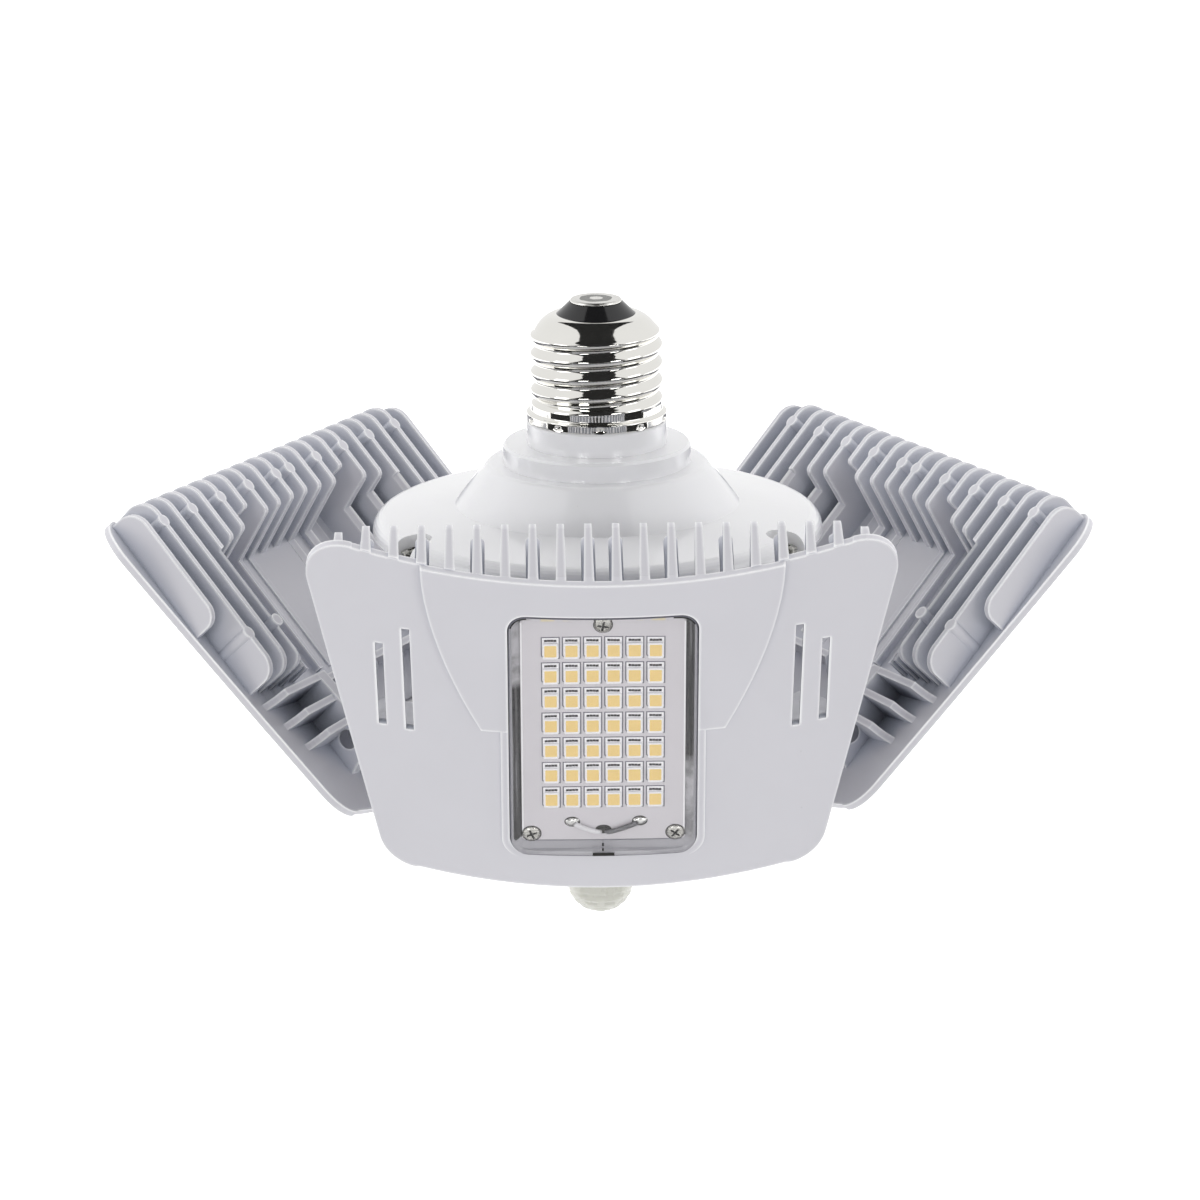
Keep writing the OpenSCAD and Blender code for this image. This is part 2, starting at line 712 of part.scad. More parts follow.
module fins() {
    last = fin_count - 1;
    for (k = [0, last]) fin(k, fin_z + 14.7, panel_l - 1.4, 3.5);
    for (k = [1, 2, last - 2, last - 1]) fin(k, fin_z, panel_l, 4);
    difference() {
        union() {
            for (k = [3:last - 3])
                if (k != 6 && k != last - 6) fin(k, fin_z, panel_l, 4);
            for (k = [6, last - 6]) fin(k, hollow_z + 6, panel_l, 1);
        }
        hub_hollow();
        for (k = [4, 5, 7, 8, 9])
            for (j = [k, last - k]) hollow_corner(fin_x(j));
    }
}

module bosses() {
    last = fin_count - 1;
    boss_z = panel_l - 6.4;
    low_boss_z = fin_z + 9.6;
    for (k = [1, 3, 5, 7, 9]) {
        for (j = [k, last - k])
            translate([fin_x(j), 0, boss_z]) boss(fin_x(j));
    }
    for (k = [1, 3]) {
        for (j = [k, last - k])
            translate([fin_x(j), 0, low_boss_z]) boss(fin_x(j));
    }
}

module boss(x) {
    root = sag(abs(x) + boss_d / 2) + 0.3;
    translate([0, fin_depth + 0.05, 0]) rotate([90, 0, 0])
        cylinder(r = boss_d / 2, h = fin_depth - root, $fn = 24);
}

// Cross rib i runs from the ear to the panel's side and slopes down to the skin
module cross_rib(z, reach) {
    inner = ear_in + 0.4;
    crown = 12.2;
    fall = 5;
    high = sag(reach) + skin - 0.4;
    linear_extrude(rib_t)
        polygon(concat([[inner, sag(inner) + edge], [reach - 1, sag(reach - 1) + edge],
                        [reach, high]],
                       arc(reach, high + fall, fall, 270, 190, 6),
                       [[inner + 3, crown], [inner, crown]]));
}

module ribs() {
    spots = [[28.4, 44.5], [23.2, 41.5], [17.7, 39]];
    for (m = [0, 1])
        mirror([m, 0, 0])
            for (p = spots)
                translate([0, 0, p[0] - rib_t / 2]) cross_rib(p[0], p[1]);
    translate([-ear_in - 0.4, 2.4, 28.4 - rib_t / 2]) cube([2 * ear_in + 0.8, 5.8, rib_t]);
}

// Ears carry the hinge pin on both sides of the hub's arm
module ears() {
    root = sag(ear_in) + 0.6;
    for (m = [0, 1])
        mirror([m, 0, 0]) along_x(ear_in, ear_out) {
            translate([hinge_back, hinge_up]) circle(r = ear_r);
            polygon([[root, 8.6], [hinge_back - 1, hinge_up - ear_r + 0.2], [hinge_back + 3, hinge_up - 2],
                     [hinge_back + ear_r - 0.2, hinge_up + 1.4], [12.2, 29.1], [root, 29.1]]);
        }
}

module tub() {
    margin = 3;
    through(0.9, pocket_d + pocket_floor)
        rounded_rect(window_w + margin, window_z - margin / 2, window_h + margin, 5);
}

module slots() {
    for (m = [0, 1])
        mirror([m, 0, 0])
            for (p = [[36.9, 34.9, 23.8], [42.1, 35.3, 19.2]])
                translate([p[0], 0, p[1]]) rotate([0, 1.1, 0])
                    through(-1, 12) translate([-0.75, 0]) square([1.5, p[2]]);
}

module lead_hole() {
    translate([-lead_hole_w / 2, lead_hole_z - lead_hole_h / 2]) square([lead_hole_w, lead_hole_h]);
}

module heatsink() {
    difference() {
        union() {
            difference() {
                union() {
                    skin_shell();
                    shield_shell();
                }
                intersection() {
                    through(-2, 6) difference() {
                        shield_outline();
                        rounded_rect(window_w + 2.6, window_z - 1.3, window_h + 2.6, 4);
                    }
                    difference() {
                        shield_body(skin, 4);
                        translate([0, panel_r, 0]) cylinder(r = panel_r - skin - 2, h = 90);
                    }
                }
            }
            tub();
            fins();
            bosses();
            ribs();
            ears();
        }
        through(-4, pocket_d) rounded_rect(window_w, window_z, window_h, 3.6);
        slots();
        along_x(-ear_out - 1, ear_out + 1) translate([hinge_back, hinge_up]) circle(r = pin_r + press_gap);
        through(0, 6) lead_hole();
    }
}

module lens() {
    color("#dfe6ee", 0.5) difference() {
        intersection() {
            through(-3, pocket_d - gasket_t)
                rounded_rect(window_w - 2 * lens_gap, window_z + lens_gap, window_h - 2 * lens_gap, 3.5);
            translate([0, panel_r, -5]) cylinder(r = panel_r + lens_proud, h = panel_l + 10, $fn = 192);
        }
        intersection() {
            through(-3, 6) lens_inner();
            translate([0, panel_r, -5])
                cylinder(r = panel_r + lens_proud - lens_t, h = panel_l + 10, $fn = 192);
        }
    }
}

module lens_inner() {
    wall = lens_skirt + lens_gap;
    rounded_rect(window_w - 2 * wall, window_z + wall, window_h - 2 * wall, 2.2);
}

module lens_gasket() {
    color("#f2f2f0") through(pocket_d - gasket_t, pocket_d) difference() {
        rounded_rect(window_w - 2 * lens_gap, window_z + lens_gap, window_h - 2 * lens_gap, 3.5);
        lens_inner();
    }
}

module led_board() {
    color("#f4f4f2") difference() {
        through(board_y, pocket_d) rounded_rect(board_w, board_z, board_h, 0.6);
        through(0, 6) lead_hole();
        for (p = [[-board_screw_x, board_screw_z], [board_screw_x, board_screw_z], [0, top_screw_z]])
            through(0, 6) translate(p) circle(r = 0.9, $fn = 24);
    }
}

module leds() {
    well = [2.25, 2.6];
    color("#f3d98c")
        for (i = [0:led_cols - 1])
            for (j = [0:led_rows - 1])
                translate([i * led_col_pitch - led_side, 0, led_z + j * led_row_pitch]) difference() {
                    through(board_y - led_t, board_y)
                        translate([-led_w / 2, -led_h / 2]) square([led_w, led_h]);
                    through(board_y - led_t - 1, board_y - led_t + 0.15)
                        translate([-well[0] / 2, -well[1] / 2 + 0.1]) square(well);
                }
}

module board_screws() {
    color("silver")
        for (p = [[-board_screw_x, board_screw_z], [board_screw_x, board_screw_z], [0, top_screw_z]])
            translate([p[0], board_y, p[1]]) rotate([90, 0, 0])
                pan_screw(board_t, board_screw_r, 0.5, 0.85);
}

// Two short leads come up through the hole in the board and end at their solder pads
module board_leads() {
    lead_r = 0.5;
    rise_x = lead_hole_w / 2 - lead_r - 0.2;
    color("#e9e9ec")
        for (p = [[-6.0, 15.4], [7.0, 15.5]]) {
            start = [sign(p[0]) * rise_x, lead_hole_z];
            run = [p[0] - start[0], p[1] - start[1]];
            translate([start[0], board_y - lead_r, start[1]]) {
                rotate([0, atan2(run[0], run[1]), 0]) cylinder(r = lead_r, h = norm(run), $fn = 24);
                sphere(r = lead_r, $fn = 24);
                rotate([-90, 0, 0]) cylinder(r = lead_r, h = board_t + pocket_floor + 1.5, $fn = 24);
            }
            translate([p[0], board_y, p[1]]) rotate([90, 0, 0])
                cylinder(r1 = 1.1, r2 = 0.6, h = 0.6, $fn = 24);
        }
}

module hinge_pin() {
    color("#9a9ca0") along_x(-ear_out, ear_out) translate([hinge_back, hinge_up]) circle(r = pin_r);
}

module hinge_washers() {
    color("#5b5d61")
        for (m = [0, 1])
            mirror([m, 0, 0]) along_x(ear_in - washer_t, ear_in)
                translate([hinge_back, hinge_up]) difference() {
                    circle(r = washer_r);
                    circle(r = pin_r + press_gap);
                }
}

module front_heatsink() { color("#d9dae2") at_panel(turn_front, tilt_front) heatsink(); }
module left_heatsink() { color("#d9dae2") at_panel(turn_left, tilt_left) heatsink(); }
module right_heatsink() { color("#d9dae2") at_panel(turn_right, tilt_right) heatsink(); }
module front_lens() { at_panel(turn_front, tilt_front) lens(); }
module left_lens() { at_panel(turn_left, tilt_left) lens(); }
module right_lens() { at_panel(turn_right, tilt_right) lens(); }
module front_lens_gasket() { at_panel(turn_front, tilt_front) lens_gasket(); }
module left_lens_gasket() { at_panel(turn_left, tilt_left) lens_gasket(); }
module right_lens_gasket() { at_panel(turn_right, tilt_right) lens_gasket(); }
module front_led_board() { at_panel(turn_front, tilt_front) led_board(); }
module left_led_board() { at_panel(turn_left, tilt_left) led_board(); }
module right_led_board() { at_panel(turn_right, tilt_right) led_board(); }
module front_leds() { at_panel(turn_front, tilt_front) leds(); }
module left_leds() { at_panel(turn_left, tilt_left) leds(); }
module right_leds() { at_panel(turn_right, tilt_right) leds(); }
module front_board_screws() { at_panel(turn_front, tilt_front) board_screws(); }
module left_board_screws() { at_panel(turn_left, tilt_left) board_screws(); }
module right_board_screws() { at_panel(turn_right, tilt_right) board_screws(); }
module front_board_leads() { at_panel(turn_front, tilt_front) board_leads(); }
module left_board_leads() { at_panel(turn_left, tilt_left) board_leads(); }
module right_board_leads() { at_panel(turn_right, tilt_right) board_leads(); }
module front_hinge_pin() { at_panel(turn_front, tilt_front) hinge_pin(); }
module left_hinge_pin() { at_panel(turn_left, tilt_left) hinge_pin(); }
module right_hinge_pin() { at_panel(turn_right, tilt_right) hinge_pin(); }
module front_hinge_washers() { at_panel(turn_front, tilt_front) hinge_washers(); }
module left_hinge_washers() { at_panel(turn_left, tilt_left) hinge_washers(); }
module right_hinge_washers() { at_panel(turn_right, tilt_right) hinge_washers(); }

contact_tip();
base_insulator();
screw_shell();
top_cover();
cover_screws();
driver_housing();
driver_board();
driver_transformer();
driver_capacitors();
hinge_hub();
hub_screws();
sensor_board();
sensor_element();
bottom_cap();
cap_screws();
sensor_dome();
front_heatsink();
front_lens();
front_lens_gasket();
front_led_board();
front_leds();
front_board_screws();
front_board_leads();
front_hinge_pin();
front_hinge_washers();
left_heatsink();
left_lens();
left_lens_gasket();
left_led_board();
left_leds();
left_board_screws();
left_board_leads();
left_hinge_pin();
left_hinge_washers();
right_heatsink();
right_lens();
right_lens_gasket();
right_led_board();
right_leds();
right_board_screws();
right_board_leads();
right_hinge_pin();
right_hinge_washers();
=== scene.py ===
import math
import bpy
import bmesh
from mathutils import Euler, Matrix, Vector


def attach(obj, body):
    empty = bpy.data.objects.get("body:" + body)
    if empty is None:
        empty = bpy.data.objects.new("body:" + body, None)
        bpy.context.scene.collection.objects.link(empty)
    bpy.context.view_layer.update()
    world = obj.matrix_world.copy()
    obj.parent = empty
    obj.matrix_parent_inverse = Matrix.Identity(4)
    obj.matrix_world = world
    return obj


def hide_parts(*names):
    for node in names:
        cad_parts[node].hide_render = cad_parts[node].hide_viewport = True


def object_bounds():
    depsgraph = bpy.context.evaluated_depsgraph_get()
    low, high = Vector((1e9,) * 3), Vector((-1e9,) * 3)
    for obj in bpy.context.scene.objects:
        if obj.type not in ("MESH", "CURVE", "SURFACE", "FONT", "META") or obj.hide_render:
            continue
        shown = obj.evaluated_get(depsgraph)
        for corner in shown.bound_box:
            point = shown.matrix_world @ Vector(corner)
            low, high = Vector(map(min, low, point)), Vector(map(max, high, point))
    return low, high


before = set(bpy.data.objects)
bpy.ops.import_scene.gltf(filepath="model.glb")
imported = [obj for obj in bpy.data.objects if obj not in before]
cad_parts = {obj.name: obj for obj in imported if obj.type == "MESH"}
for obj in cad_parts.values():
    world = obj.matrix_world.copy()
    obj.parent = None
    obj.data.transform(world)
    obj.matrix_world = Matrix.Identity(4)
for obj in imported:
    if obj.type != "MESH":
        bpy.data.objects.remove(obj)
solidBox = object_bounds()
print("lamp loaded:", len(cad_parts), "nodes")

mm = 0.001
# lengths are in millimetres; depths on the hub are measured down from the tip contact
hubPlan = {"tipHeight": 12.845, "hingeRadius": 42.4, "hingeDrop": 89.4}
# each side's turn round the lamp's axis and its tilt from upright, in degrees
panelPlan = {"hingeUp": 15, "hingeBack": 8.5, "curve": 150,
             "sides": {"front": (0, 20.3), "left": (-120, 43.4), "right": (120, 44.3)}}

# camera, placed from the tip contact and turned in degrees

photoCamera = {"place": (-15.36, -1145.17, 261.46), "turn": (74.2413, 0.4331, -0.909), "lens": 178.945,
               "sensor": 36, "clip": (0.05, 20)}


def addObject(name, data):
    made = bpy.data.objects.new(name, data)
    bpy.context.scene.collection.objects.link(made)
    return made


def makeCamera():
    plan = photoCamera
    data = bpy.data.cameras.new("photoCamera")
    data.lens, data.sensor_width = plan["lens"], plan["sensor"]
    data.clip_start, data.clip_end = plan["clip"]
    camera = addObject("photoCamera", data)
    place = Vector(plan["place"]) + Vector((0, 0, hubPlan["tipHeight"]))
    turn = Euler([math.radians(v) for v in plan["turn"]]).to_matrix().to_4x4()
    camera.matrix_world = Matrix.Translation(place * mm) @ turn
    bpy.context.scene.camera = camera


makeCamera()
print("camera set")

# node tools: a socket that is given as an input is linked, and anything else is set as its value


def feed(tree, made, inputs):
    for key, value in inputs.items():
        if isinstance(value, bpy.types.NodeSocket):
            tree.links.new(value, made.inputs[key])
        else:
            made.inputs[key].default_value = value


def node(tree, kind, inputs=None, **settings):
    made = tree.nodes.new("ShaderNode" + kind)
    for key, value in settings.items():
        setattr(made, key, value)
    feed(tree, made, inputs or {})
    return made


def calc(tree, operation, *inputs):
    return node(tree, "Math", dict(enumerate(inputs)), operation=operation).outputs[0]


def remap(tree, value, low, high, toLow=0.0, toHigh=1.0, curve="LINEAR"):
    inputs = {"Value": value, "From Min": low, "From Max": high, "To Min": toLow, "To Max": toHigh}
    return node(tree, "MapRange", inputs, interpolation_type=curve).outputs[0]


def mixTones(tree, amount, first, second, blend="MIX"):
    # each side is a socket or a plain colour of three parts
    sides = [(*side, 1) if isinstance(side, tuple) else side for side in (first, second)]
    inputs = {"Factor": amount, "A": sides[0], "B": sides[1]}
    return node(tree, "Mix", inputs, data_type="RGBA", blend_type=blend).outputs["Result"]


def objectPlace(tree):
    return node(tree, "TexCoord").outputs["Object"]


def newGroup(name, inputs, outputs, outKind="Float"):
    # an input's kind follows from its first value: a number, a vector of 3 or a colour of 4
    group = bpy.data.node_groups.new(name, "ShaderNodeTree")
    kinds = {1: "Float", 3: "Vector", 4: "Color"}
    for title, value in inputs.items():
        parts = len(value) if isinstance(value, tuple) else 1
        socket = group.interface.new_socket(title, in_out="INPUT", socket_type="NodeSocket" + kinds[parts])
        socket.default_value = value
    for title in outputs:
        group.interface.new_socket(title, in_out="OUTPUT", socket_type="NodeSocket" + outKind)
    return group, group.nodes.new("NodeGroupInput").outputs, group.nodes.new("NodeGroupOutput")


# shared effects


def toneDrift():
    # a slow change of tone over the surface, as paint and plastic have
    group, given, leave = newGroup("toneDrift", {"Color": (0.8, 0.8, 0.8, 1), "Scale": 60.0, "Drift": 0.04},
                                   ["Color"], "Color")
    noise = node(group, "TexNoise", {"Vector": objectPlace(group), "Scale": given["Scale"], "Detail": 3.0})
    centred = calc(group, "SUBTRACT", noise.outputs[0], 0.5)
    shift = calc(group, "MULTIPLY_ADD", centred, given["Drift"], 1.0)
    toned = node(group, "VectorMath", {0: given["Color"], "Scale": shift}, operation="SCALE")
    feed(group, leave, {"Color": toned.outputs[0]})
    return group


def fineGrain():
    # small bumps of moulded or painted skin, as a height
    group, given, leave = newGroup("fineGrain", {"Scale": 1500.0, "Coarse": 0.35}, ["Height"])
    where = objectPlace(group)
    wideScale = calc(group, "MULTIPLY", given["Scale"], 0.22)
    fine = node(group, "TexNoise", {"Vector": where, "Scale": given["Scale"], "Detail": 2.0})
    wide = node(group, "TexNoise", {"Vector": where, "Scale": wideScale, "Detail": 1.0})
    both = node(group, "Mix", {0: given["Coarse"], 2: fine.outputs[0], 3: wide.outputs[0]})
    feed(group, leave, {"Height": both.outputs[0]})
    return group


def smallSpecks():
    # sparse dust specks and pin marks, as a mask
    group, given, leave = newGroup("smallSpecks", {"Scale": 260.0, "Size": 0.06}, ["Mask"])
    cells = node(group, "TexVoronoi", {"Vector": objectPlace(group), "Scale": given["Scale"]})
    near = remap(group, cells.outputs["Distance"], 0.0, given["Size"], 1.0, 0.0)
    parts = node(group, "SeparateColor", {0: cells.outputs["Color"]})
    chosen = calc(group, "GREATER_THAN", parts.outputs[0], 0.86)
    feed(group, leave, {"Mask": calc(group, "MULTIPLY", near, chosen)})
    return group


def brushLines():
    # fine turning or drawing lines along one direction
    group, given, leave = newGroup("brushLines", {"Scale": 2500.0, "Stretch": (0.04, 0.04, 1.0)}, ["Value"])
    pulled = node(group, "VectorMath", {0: objectPlace(group), 1: given["Stretch"]}, operation="MULTIPLY")
    noise = node(group, "TexNoise", {"Vector": pulled.outputs[0], "Scale": given["Scale"], "Detail": 2.0})
    feed(group, leave, {"Value": noise.outputs[0]})
    return group


def shadeAndHighlightMask():
    # masks for painted shade and highlight: Open and Shallow are 1 on open faces and fall to 0 between the
    # fins, where shade is painted; Edge is 1 along outer edges, where a highlight is painted
    group, given, leave = newGroup("shadeAndHighlightMask", {"Reach": 0.012, "Dark": 0.15, "Light": 0.85, "Rim": 0.0006},
                                   ["Open", "Shallow", "Edge"])
    outside = node(group, "AmbientOcclusion", {"Distance": given["Reach"]}, samples=6).outputs["AO"]
    inside = node(group, "AmbientOcclusion", {"Distance": given["Rim"]}, samples=5, inside=True).outputs["AO"]
    feed(group, leave, {"Open": remap(group, outside, given["Dark"], given["Light"], curve="SMOOTHSTEP"),
                        "Shallow": remap(group, outside, 0.0, 0.3, curve="SMOOTHSTEP"),
                        "Edge": remap(group, inside, 0.9, 0.5)})
    return group


def ringMask():
    # 1 inside a band of radii round the lamp's axis, with a wavering border
    group, given, leave = newGroup("ringMask", {"Inner": 0.0, "Outer": 0.003, "Waver": 0.001}, ["Mask"])
    where = objectPlace(group)
    flat = node(group, "VectorMath", {0: where, 1: (1, 1, 0)}, operation="MULTIPLY")
    radius = node(group, "VectorMath", {0: flat.outputs[0]}, operation="LENGTH").outputs["Value"]
    noise = node(group, "TexNoise", {"Vector": where, "Scale": 380})
    centred = calc(group, "SUBTRACT", noise.outputs[0], 0.5)
    border = calc(group, "MULTIPLY_ADD", centred, given["Waver"], radius)
    above = calc(group, "GREATER_THAN", border, given["Inner"])
    below = calc(group, "LESS_THAN", border, given["Outer"])
    feed(group, leave, {"Mask": calc(group, "MULTIPLY", above, below)})
    return group


effects = {"hollowShade": shadeAndHighlightMask(), "ring": ringMask(), "drift": toneDrift(), "grain": fineGrain(),
           "specks": smallSpecks(), "brush": brushLines()}
print("shared effects built")


def effect(tree, name, **inputs):
    return node(tree, "Group", inputs, node_tree=effects[name]).outputs


# materials: drift is an amount and a scale, rough a middle and a span, grain a scale and its coarse share,
# coat a weight and a roughness; specks darken, cavity and deep are painted shade in the hollows within reach,
# rim is a painted highlight on the outer edges, and crater is a dark ring, painted shade of the contact's
# dent, with its two radii and tone

finishes = {
    # castPaint and hubCast: cavity and deep are painted shade in the hollows, rim a painted highlight on the
    # edges
    "castPaint": {"color": (0.655, 0.65, 0.69), "drift": (0.05, 45), "rough": (0.42, 0.08),
                  "grain": (1100, 0.5), "bump": 0.05, "coat": (0.15, 0.3), "specks": 0.35, "reach": 9,
                  "hollowShade": (0.58, 0.61, 0.69), "deep": (0.1, 0.11, 0.14), "rim": (0.98, 0.98, 0.99)},
    "hubPlastic": {"color": (0.8, 0.8, 0.818), "drift": (0.03, 30), "rough": (0.2, 0.05), "grain": (500, 0.7),
                   "bump": 0.015, "coat": (0.6, 0.05), "specks": 0.3, "subsurface": 0.08},
    "hubCast": {"color": (0.66, 0.66, 0.69), "drift": (0.05, 45), "rough": (0.45, 0.08), "grain": (900, 0.5),
                "bump": 0.08, "hollowShade": (0.34, 0.35, 0.4), "deep": (0.1, 0.1, 0.12), "reach": 9,
                "rim": (0.8, 0.8, 0.83)},
    "nickel": {"color": (0.77, 0.76, 0.725), "metal": 1, "drift": (0.05, 160), "rough": (0.07, 0.06),
               "grain": (500, 0.7), "bump": 0.06},
    # the contact's crater ring is painted shade of its dent
    "contactMetal": {"color": (0.72, 0.71, 0.68), "metal": 1, "drift": (0.12, 500), "rough": (0.28, 0.2),
                     "grain": (700, 0.7), "bump": 0.3, "dentShade": (1.3, 3.2, (0.12, 0.12, 0.11))},
    "blackGlass": {"color": (0.012, 0.012, 0.013), "drift": (0.2, 120), "rough": (0.12, 0.08),
                   "grain": (600, 0.7), "bump": 0.04, "specks": 0.2},
    "screwSteel": {"color": (0.42, 0.415, 0.39), "metal": 1, "drift": (0.3, 900), "rough": (0.26, 0.2),
                   "grain": (1800, 0.6), "bump": 0.35},
    # slotDark is near black: painted shade in the screw slots, the ring round the screw heads, the board's
    # lead hole and the lens's upper corners; also the rings round the solder pads and the lens's moulding
    # gate and slit
    "slotDark": {"color": (0.03, 0.03, 0.028), "drift": (0.3, 900), "rough": (0.5, 0.1), "grain": (2500, 0.4),
                 "bump": 0.05},
    "pinSteel": {"color": (0.45, 0.45, 0.46), "metal": 1, "drift": (0.1, 300), "rough": (0.3, 0.15),
                 "brush": (1, 0.05, 0.05), "bump": 0.06},
    "washerSteel": {"color": (0.3, 0.3, 0.31), "metal": 1, "drift": (0.12, 400), "rough": (0.4, 0.15),
                    "grain": (2000, 0.3), "bump": 0.1},
    "boardWhite": {"color": (0.675, 0.658, 0.685), "drift": (0.03, 90), "rough": (0.3, 0.06),
                   "grain": (1800, 0.4), "bump": 0.03, "coat": (0.2, 0.2), "specks": 0.15},
    "boardGreen": {"color": (0.03, 0.17, 0.06), "drift": (0.12, 200), "rough": (0.35, 0.1),
                   "grain": (1500, 0.4), "bump": 0.06, "coat": (0.3, 0.15)},
    "windingTape": {"color": (0.62, 0.42, 0.06), "drift": (0.12, 200), "rough": (0.4, 0.1),
                    "brush": (0.05, 0.05, 1), "bump": 0.1},
    "capSleeve": {"color": (0.02, 0.025, 0.04), "drift": (0.2, 200), "rough": (0.3, 0.1), "grain": (900, 0.4),
                  "bump": 0.05},
    "canMetal": {"color": (0.55, 0.55, 0.53), "metal": 1, "drift": (0.08, 300), "rough": (0.3, 0.12),
                 "grain": (1500, 0.5), "bump": 0.05},
    "ledFrame": {"color": (0.95, 0.95, 0.97), "drift": (0.02, 600), "rough": (0.35, 0.05),
                 "grain": (3000, 0.3), "bump": 0.02},
    "ledPhosphor": {"color": (0.93, 0.69, 0.27), "drift": (0.05, 1500), "rough": (0.45, 0.08),
                    "grain": (5000, 0.4), "bump": 0.08},
    # silk print, and the painted highlight on the board's cut edges
    "silkAndEdgeHighlight": {"color": (0.96, 0.96, 0.97), "drift": (0.02, 500), "rough": (0.4, 0.06),
                  "grain": (2500, 0.3), "bump": 0.02},
    # painted shadow: the grey of the lines round each LED and round the lens window
    "paintedShadowGrey": {"color": (0.16, 0.16, 0.19), "drift": (0.2, 1500), "rough": (0.5, 0.1),
                  "grain": (3000, 0.4), "bump": 0.02},
    "printDark": {"color": (0.02, 0.018, 0.02), "drift": (0.4, 2500), "rough": (0.5, 0.1),
                  "grain": (3000, 0.4), "bump": 0.02},
    "solder": {"color": (0.5, 0.5, 0.49), "metal": 1, "drift": (0.3, 900), "rough": (0.14, 0.12),
               "grain": (900, 0.7), "bump": 0.7},
    "lensFrost": {"color": (0.43, 0.43, 0.46), "drift": (0.06, 300), "rough": (0.25, 0.1),
                  "grain": (700, 0.7), "bump": 0.06, "coat": (0.4, 0.1), "specks": 0.3},
    # painted glow: the LED columns' yellow shown in the wall over the board
    "glowPatch": {"color": (0.78, 0.7, 0.5), "drift": (0.1, 500), "rough": (0.3, 0.1), "grain": (900, 0.6),
                  "bump": 0.03},
    "leadWhite": {"color": (0.78, 0.78, 0.8), "drift": (0.04, 400), "rough": (0.35, 0.08),
                  "grain": (1500, 0.5), "bump": 0.05},
    "leadGrey": {"color": (0.13, 0.13, 0.14), "drift": (0.1, 400), "rough": (0.3, 0.1), "grain": (1500, 0.5),
                 "bump": 0.06},
    "gasketRubber": {"color": (0.62, 0.62, 0.63), "drift": (0.05, 200), "rough": (0.55, 0.08),
                     "grain": (1600, 0.4), "bump": 0.05},
    "domeMilk": {"color": (0.6, 0.6, 0.545), "drift": (0.03, 300), "rough": (0.28, 0.06),
                 "grain": (1200, 0.5), "bump": 0.02, "coat": (0.3, 0.15), "subsurface": 0.3},
}
finishShared = {"speckTone": (0.45, 0.44, 0.42), "bumpDepth": 0.4, "scatter": (0.9, 1.0, 0.8),
                "scatterScale": 2}


def newMaterial(name):
    material = bpy.data.materials.new(name)
    material.use_nodes = True
    tree = material.node_tree
    return material, tree, tree.nodes["Principled BSDF"]


def makeFinish(name, plan):
    shared = finishShared
    material, tree, shader = newMaterial(name)
    amount, scale = plan["drift"]
    color = effect(tree, "drift", Color=(*plan["color"], 1), Scale=scale, Drift=amount)["Color"]
    if "specks" in plan:
        dust = calc(tree, "MULTIPLY", effect(tree, "specks")["Mask"], plan["specks"])
        color = mixTones(tree, dust, color, shared["speckTone"], "MULTIPLY")
    # painted shade in the hollows and a painted highlight along the outer edges
    if "hollowShade" in plan:
        hollowShade = effect(tree, "hollowShade", Reach=plan["reach"] * mm)
        color = mixTones(tree, hollowShade["Open"], plan["hollowShade"], color)
        color = mixTones(tree, hollowShade["Shallow"], plan["deep"], color)
        color = mixTones(tree, hollowShade["Edge"], color, plan["rim"])
    # painted shade: a dark ring where the contact's dent is
    if "dentShade" in plan:
        inner, outer, tone = plan["dentShade"]
        color = mixTones(tree, effect(tree, "ring", Inner=inner * mm, Outer=outer * mm)["Mask"], color, tone)
    if "brush" in plan:
        height = effect(tree, "brush", Stretch=plan["brush"])["Value"]
    else:
        scale, coarse = plan["grain"]
        height = effect(tree, "grain", Scale=scale, Coarse=coarse)["Height"]
    bump = node(tree, "Bump", {"Strength": plan["bump"], "Distance": shared["bumpDepth"] * mm,
                               "Height": height})
    middle, span = plan["rough"]
    rough = remap(tree, height, 0.0, 1.0, middle - span / 2, middle + span / 2)
    feed(tree, shader, {"Base Color": color, "Normal": bump.outputs[0], "Roughness": rough,
                        "Metallic": plan.get("metal", 0)})
    if "coat" in plan:
        feed(tree, shader, dict(zip(("Coat Weight", "Coat Roughness"), plan["coat"])))
    if "subsurface" in plan:
        feed(tree, shader, {"Subsurface Weight": plan["subsurface"], "Subsurface Radius": shared["scatter"],
                            "Subsurface Scale": shared["scatterScale"] * mm})
    return material


clearPlan = {"color": (0.985, 0.982, 0.985, 1), "through": (0.95, 0.945, 0.95, 1), "ior": 1.47, "haze": 200,
             "roughest": 0.03, "slant": (0.45, 0.85), "slantClear": 0.85}


def makeLensClear():
    # clear moulded window: light passes straight through it to the board
    plan = clearPlan
    material, tree, shader = newMaterial("lensClear")
    rough = remap(tree, effect(tree, "grain", Scale=plan["haze"])["Height"], 0.0, 1.0, 0.0, plan["roughest"])
    feed(tree, shader, {"Base Color": plan["color"], "IOR": plan["ior"], "Transmission Weight": 1,
                        "Roughness": rough})
    path = node(tree, "LightPath").outputs
    straight = calc(tree, "MAXIMUM", path["Is Shadow Ray"], path["Is Diffuse Ray"])
    # seen very aslant, the window stays clear enough to show the board
    facing = node(tree, "LayerWeight").outputs["Facing"]
    aslant = remap(tree, facing, *plan["slant"], 0.0, plan["slantClear"])
    clear = node(tree, "BsdfTransparent", {"Color": plan["through"]}).outputs[0]
    both = {0: calc(tree, "MAXIMUM", straight, aslant), 1: shader.outputs[0], 2: clear}
    feed(tree, tree.nodes["Material Output"], {"Surface": node(tree, "MixShader", both).outputs[0]})
    return material


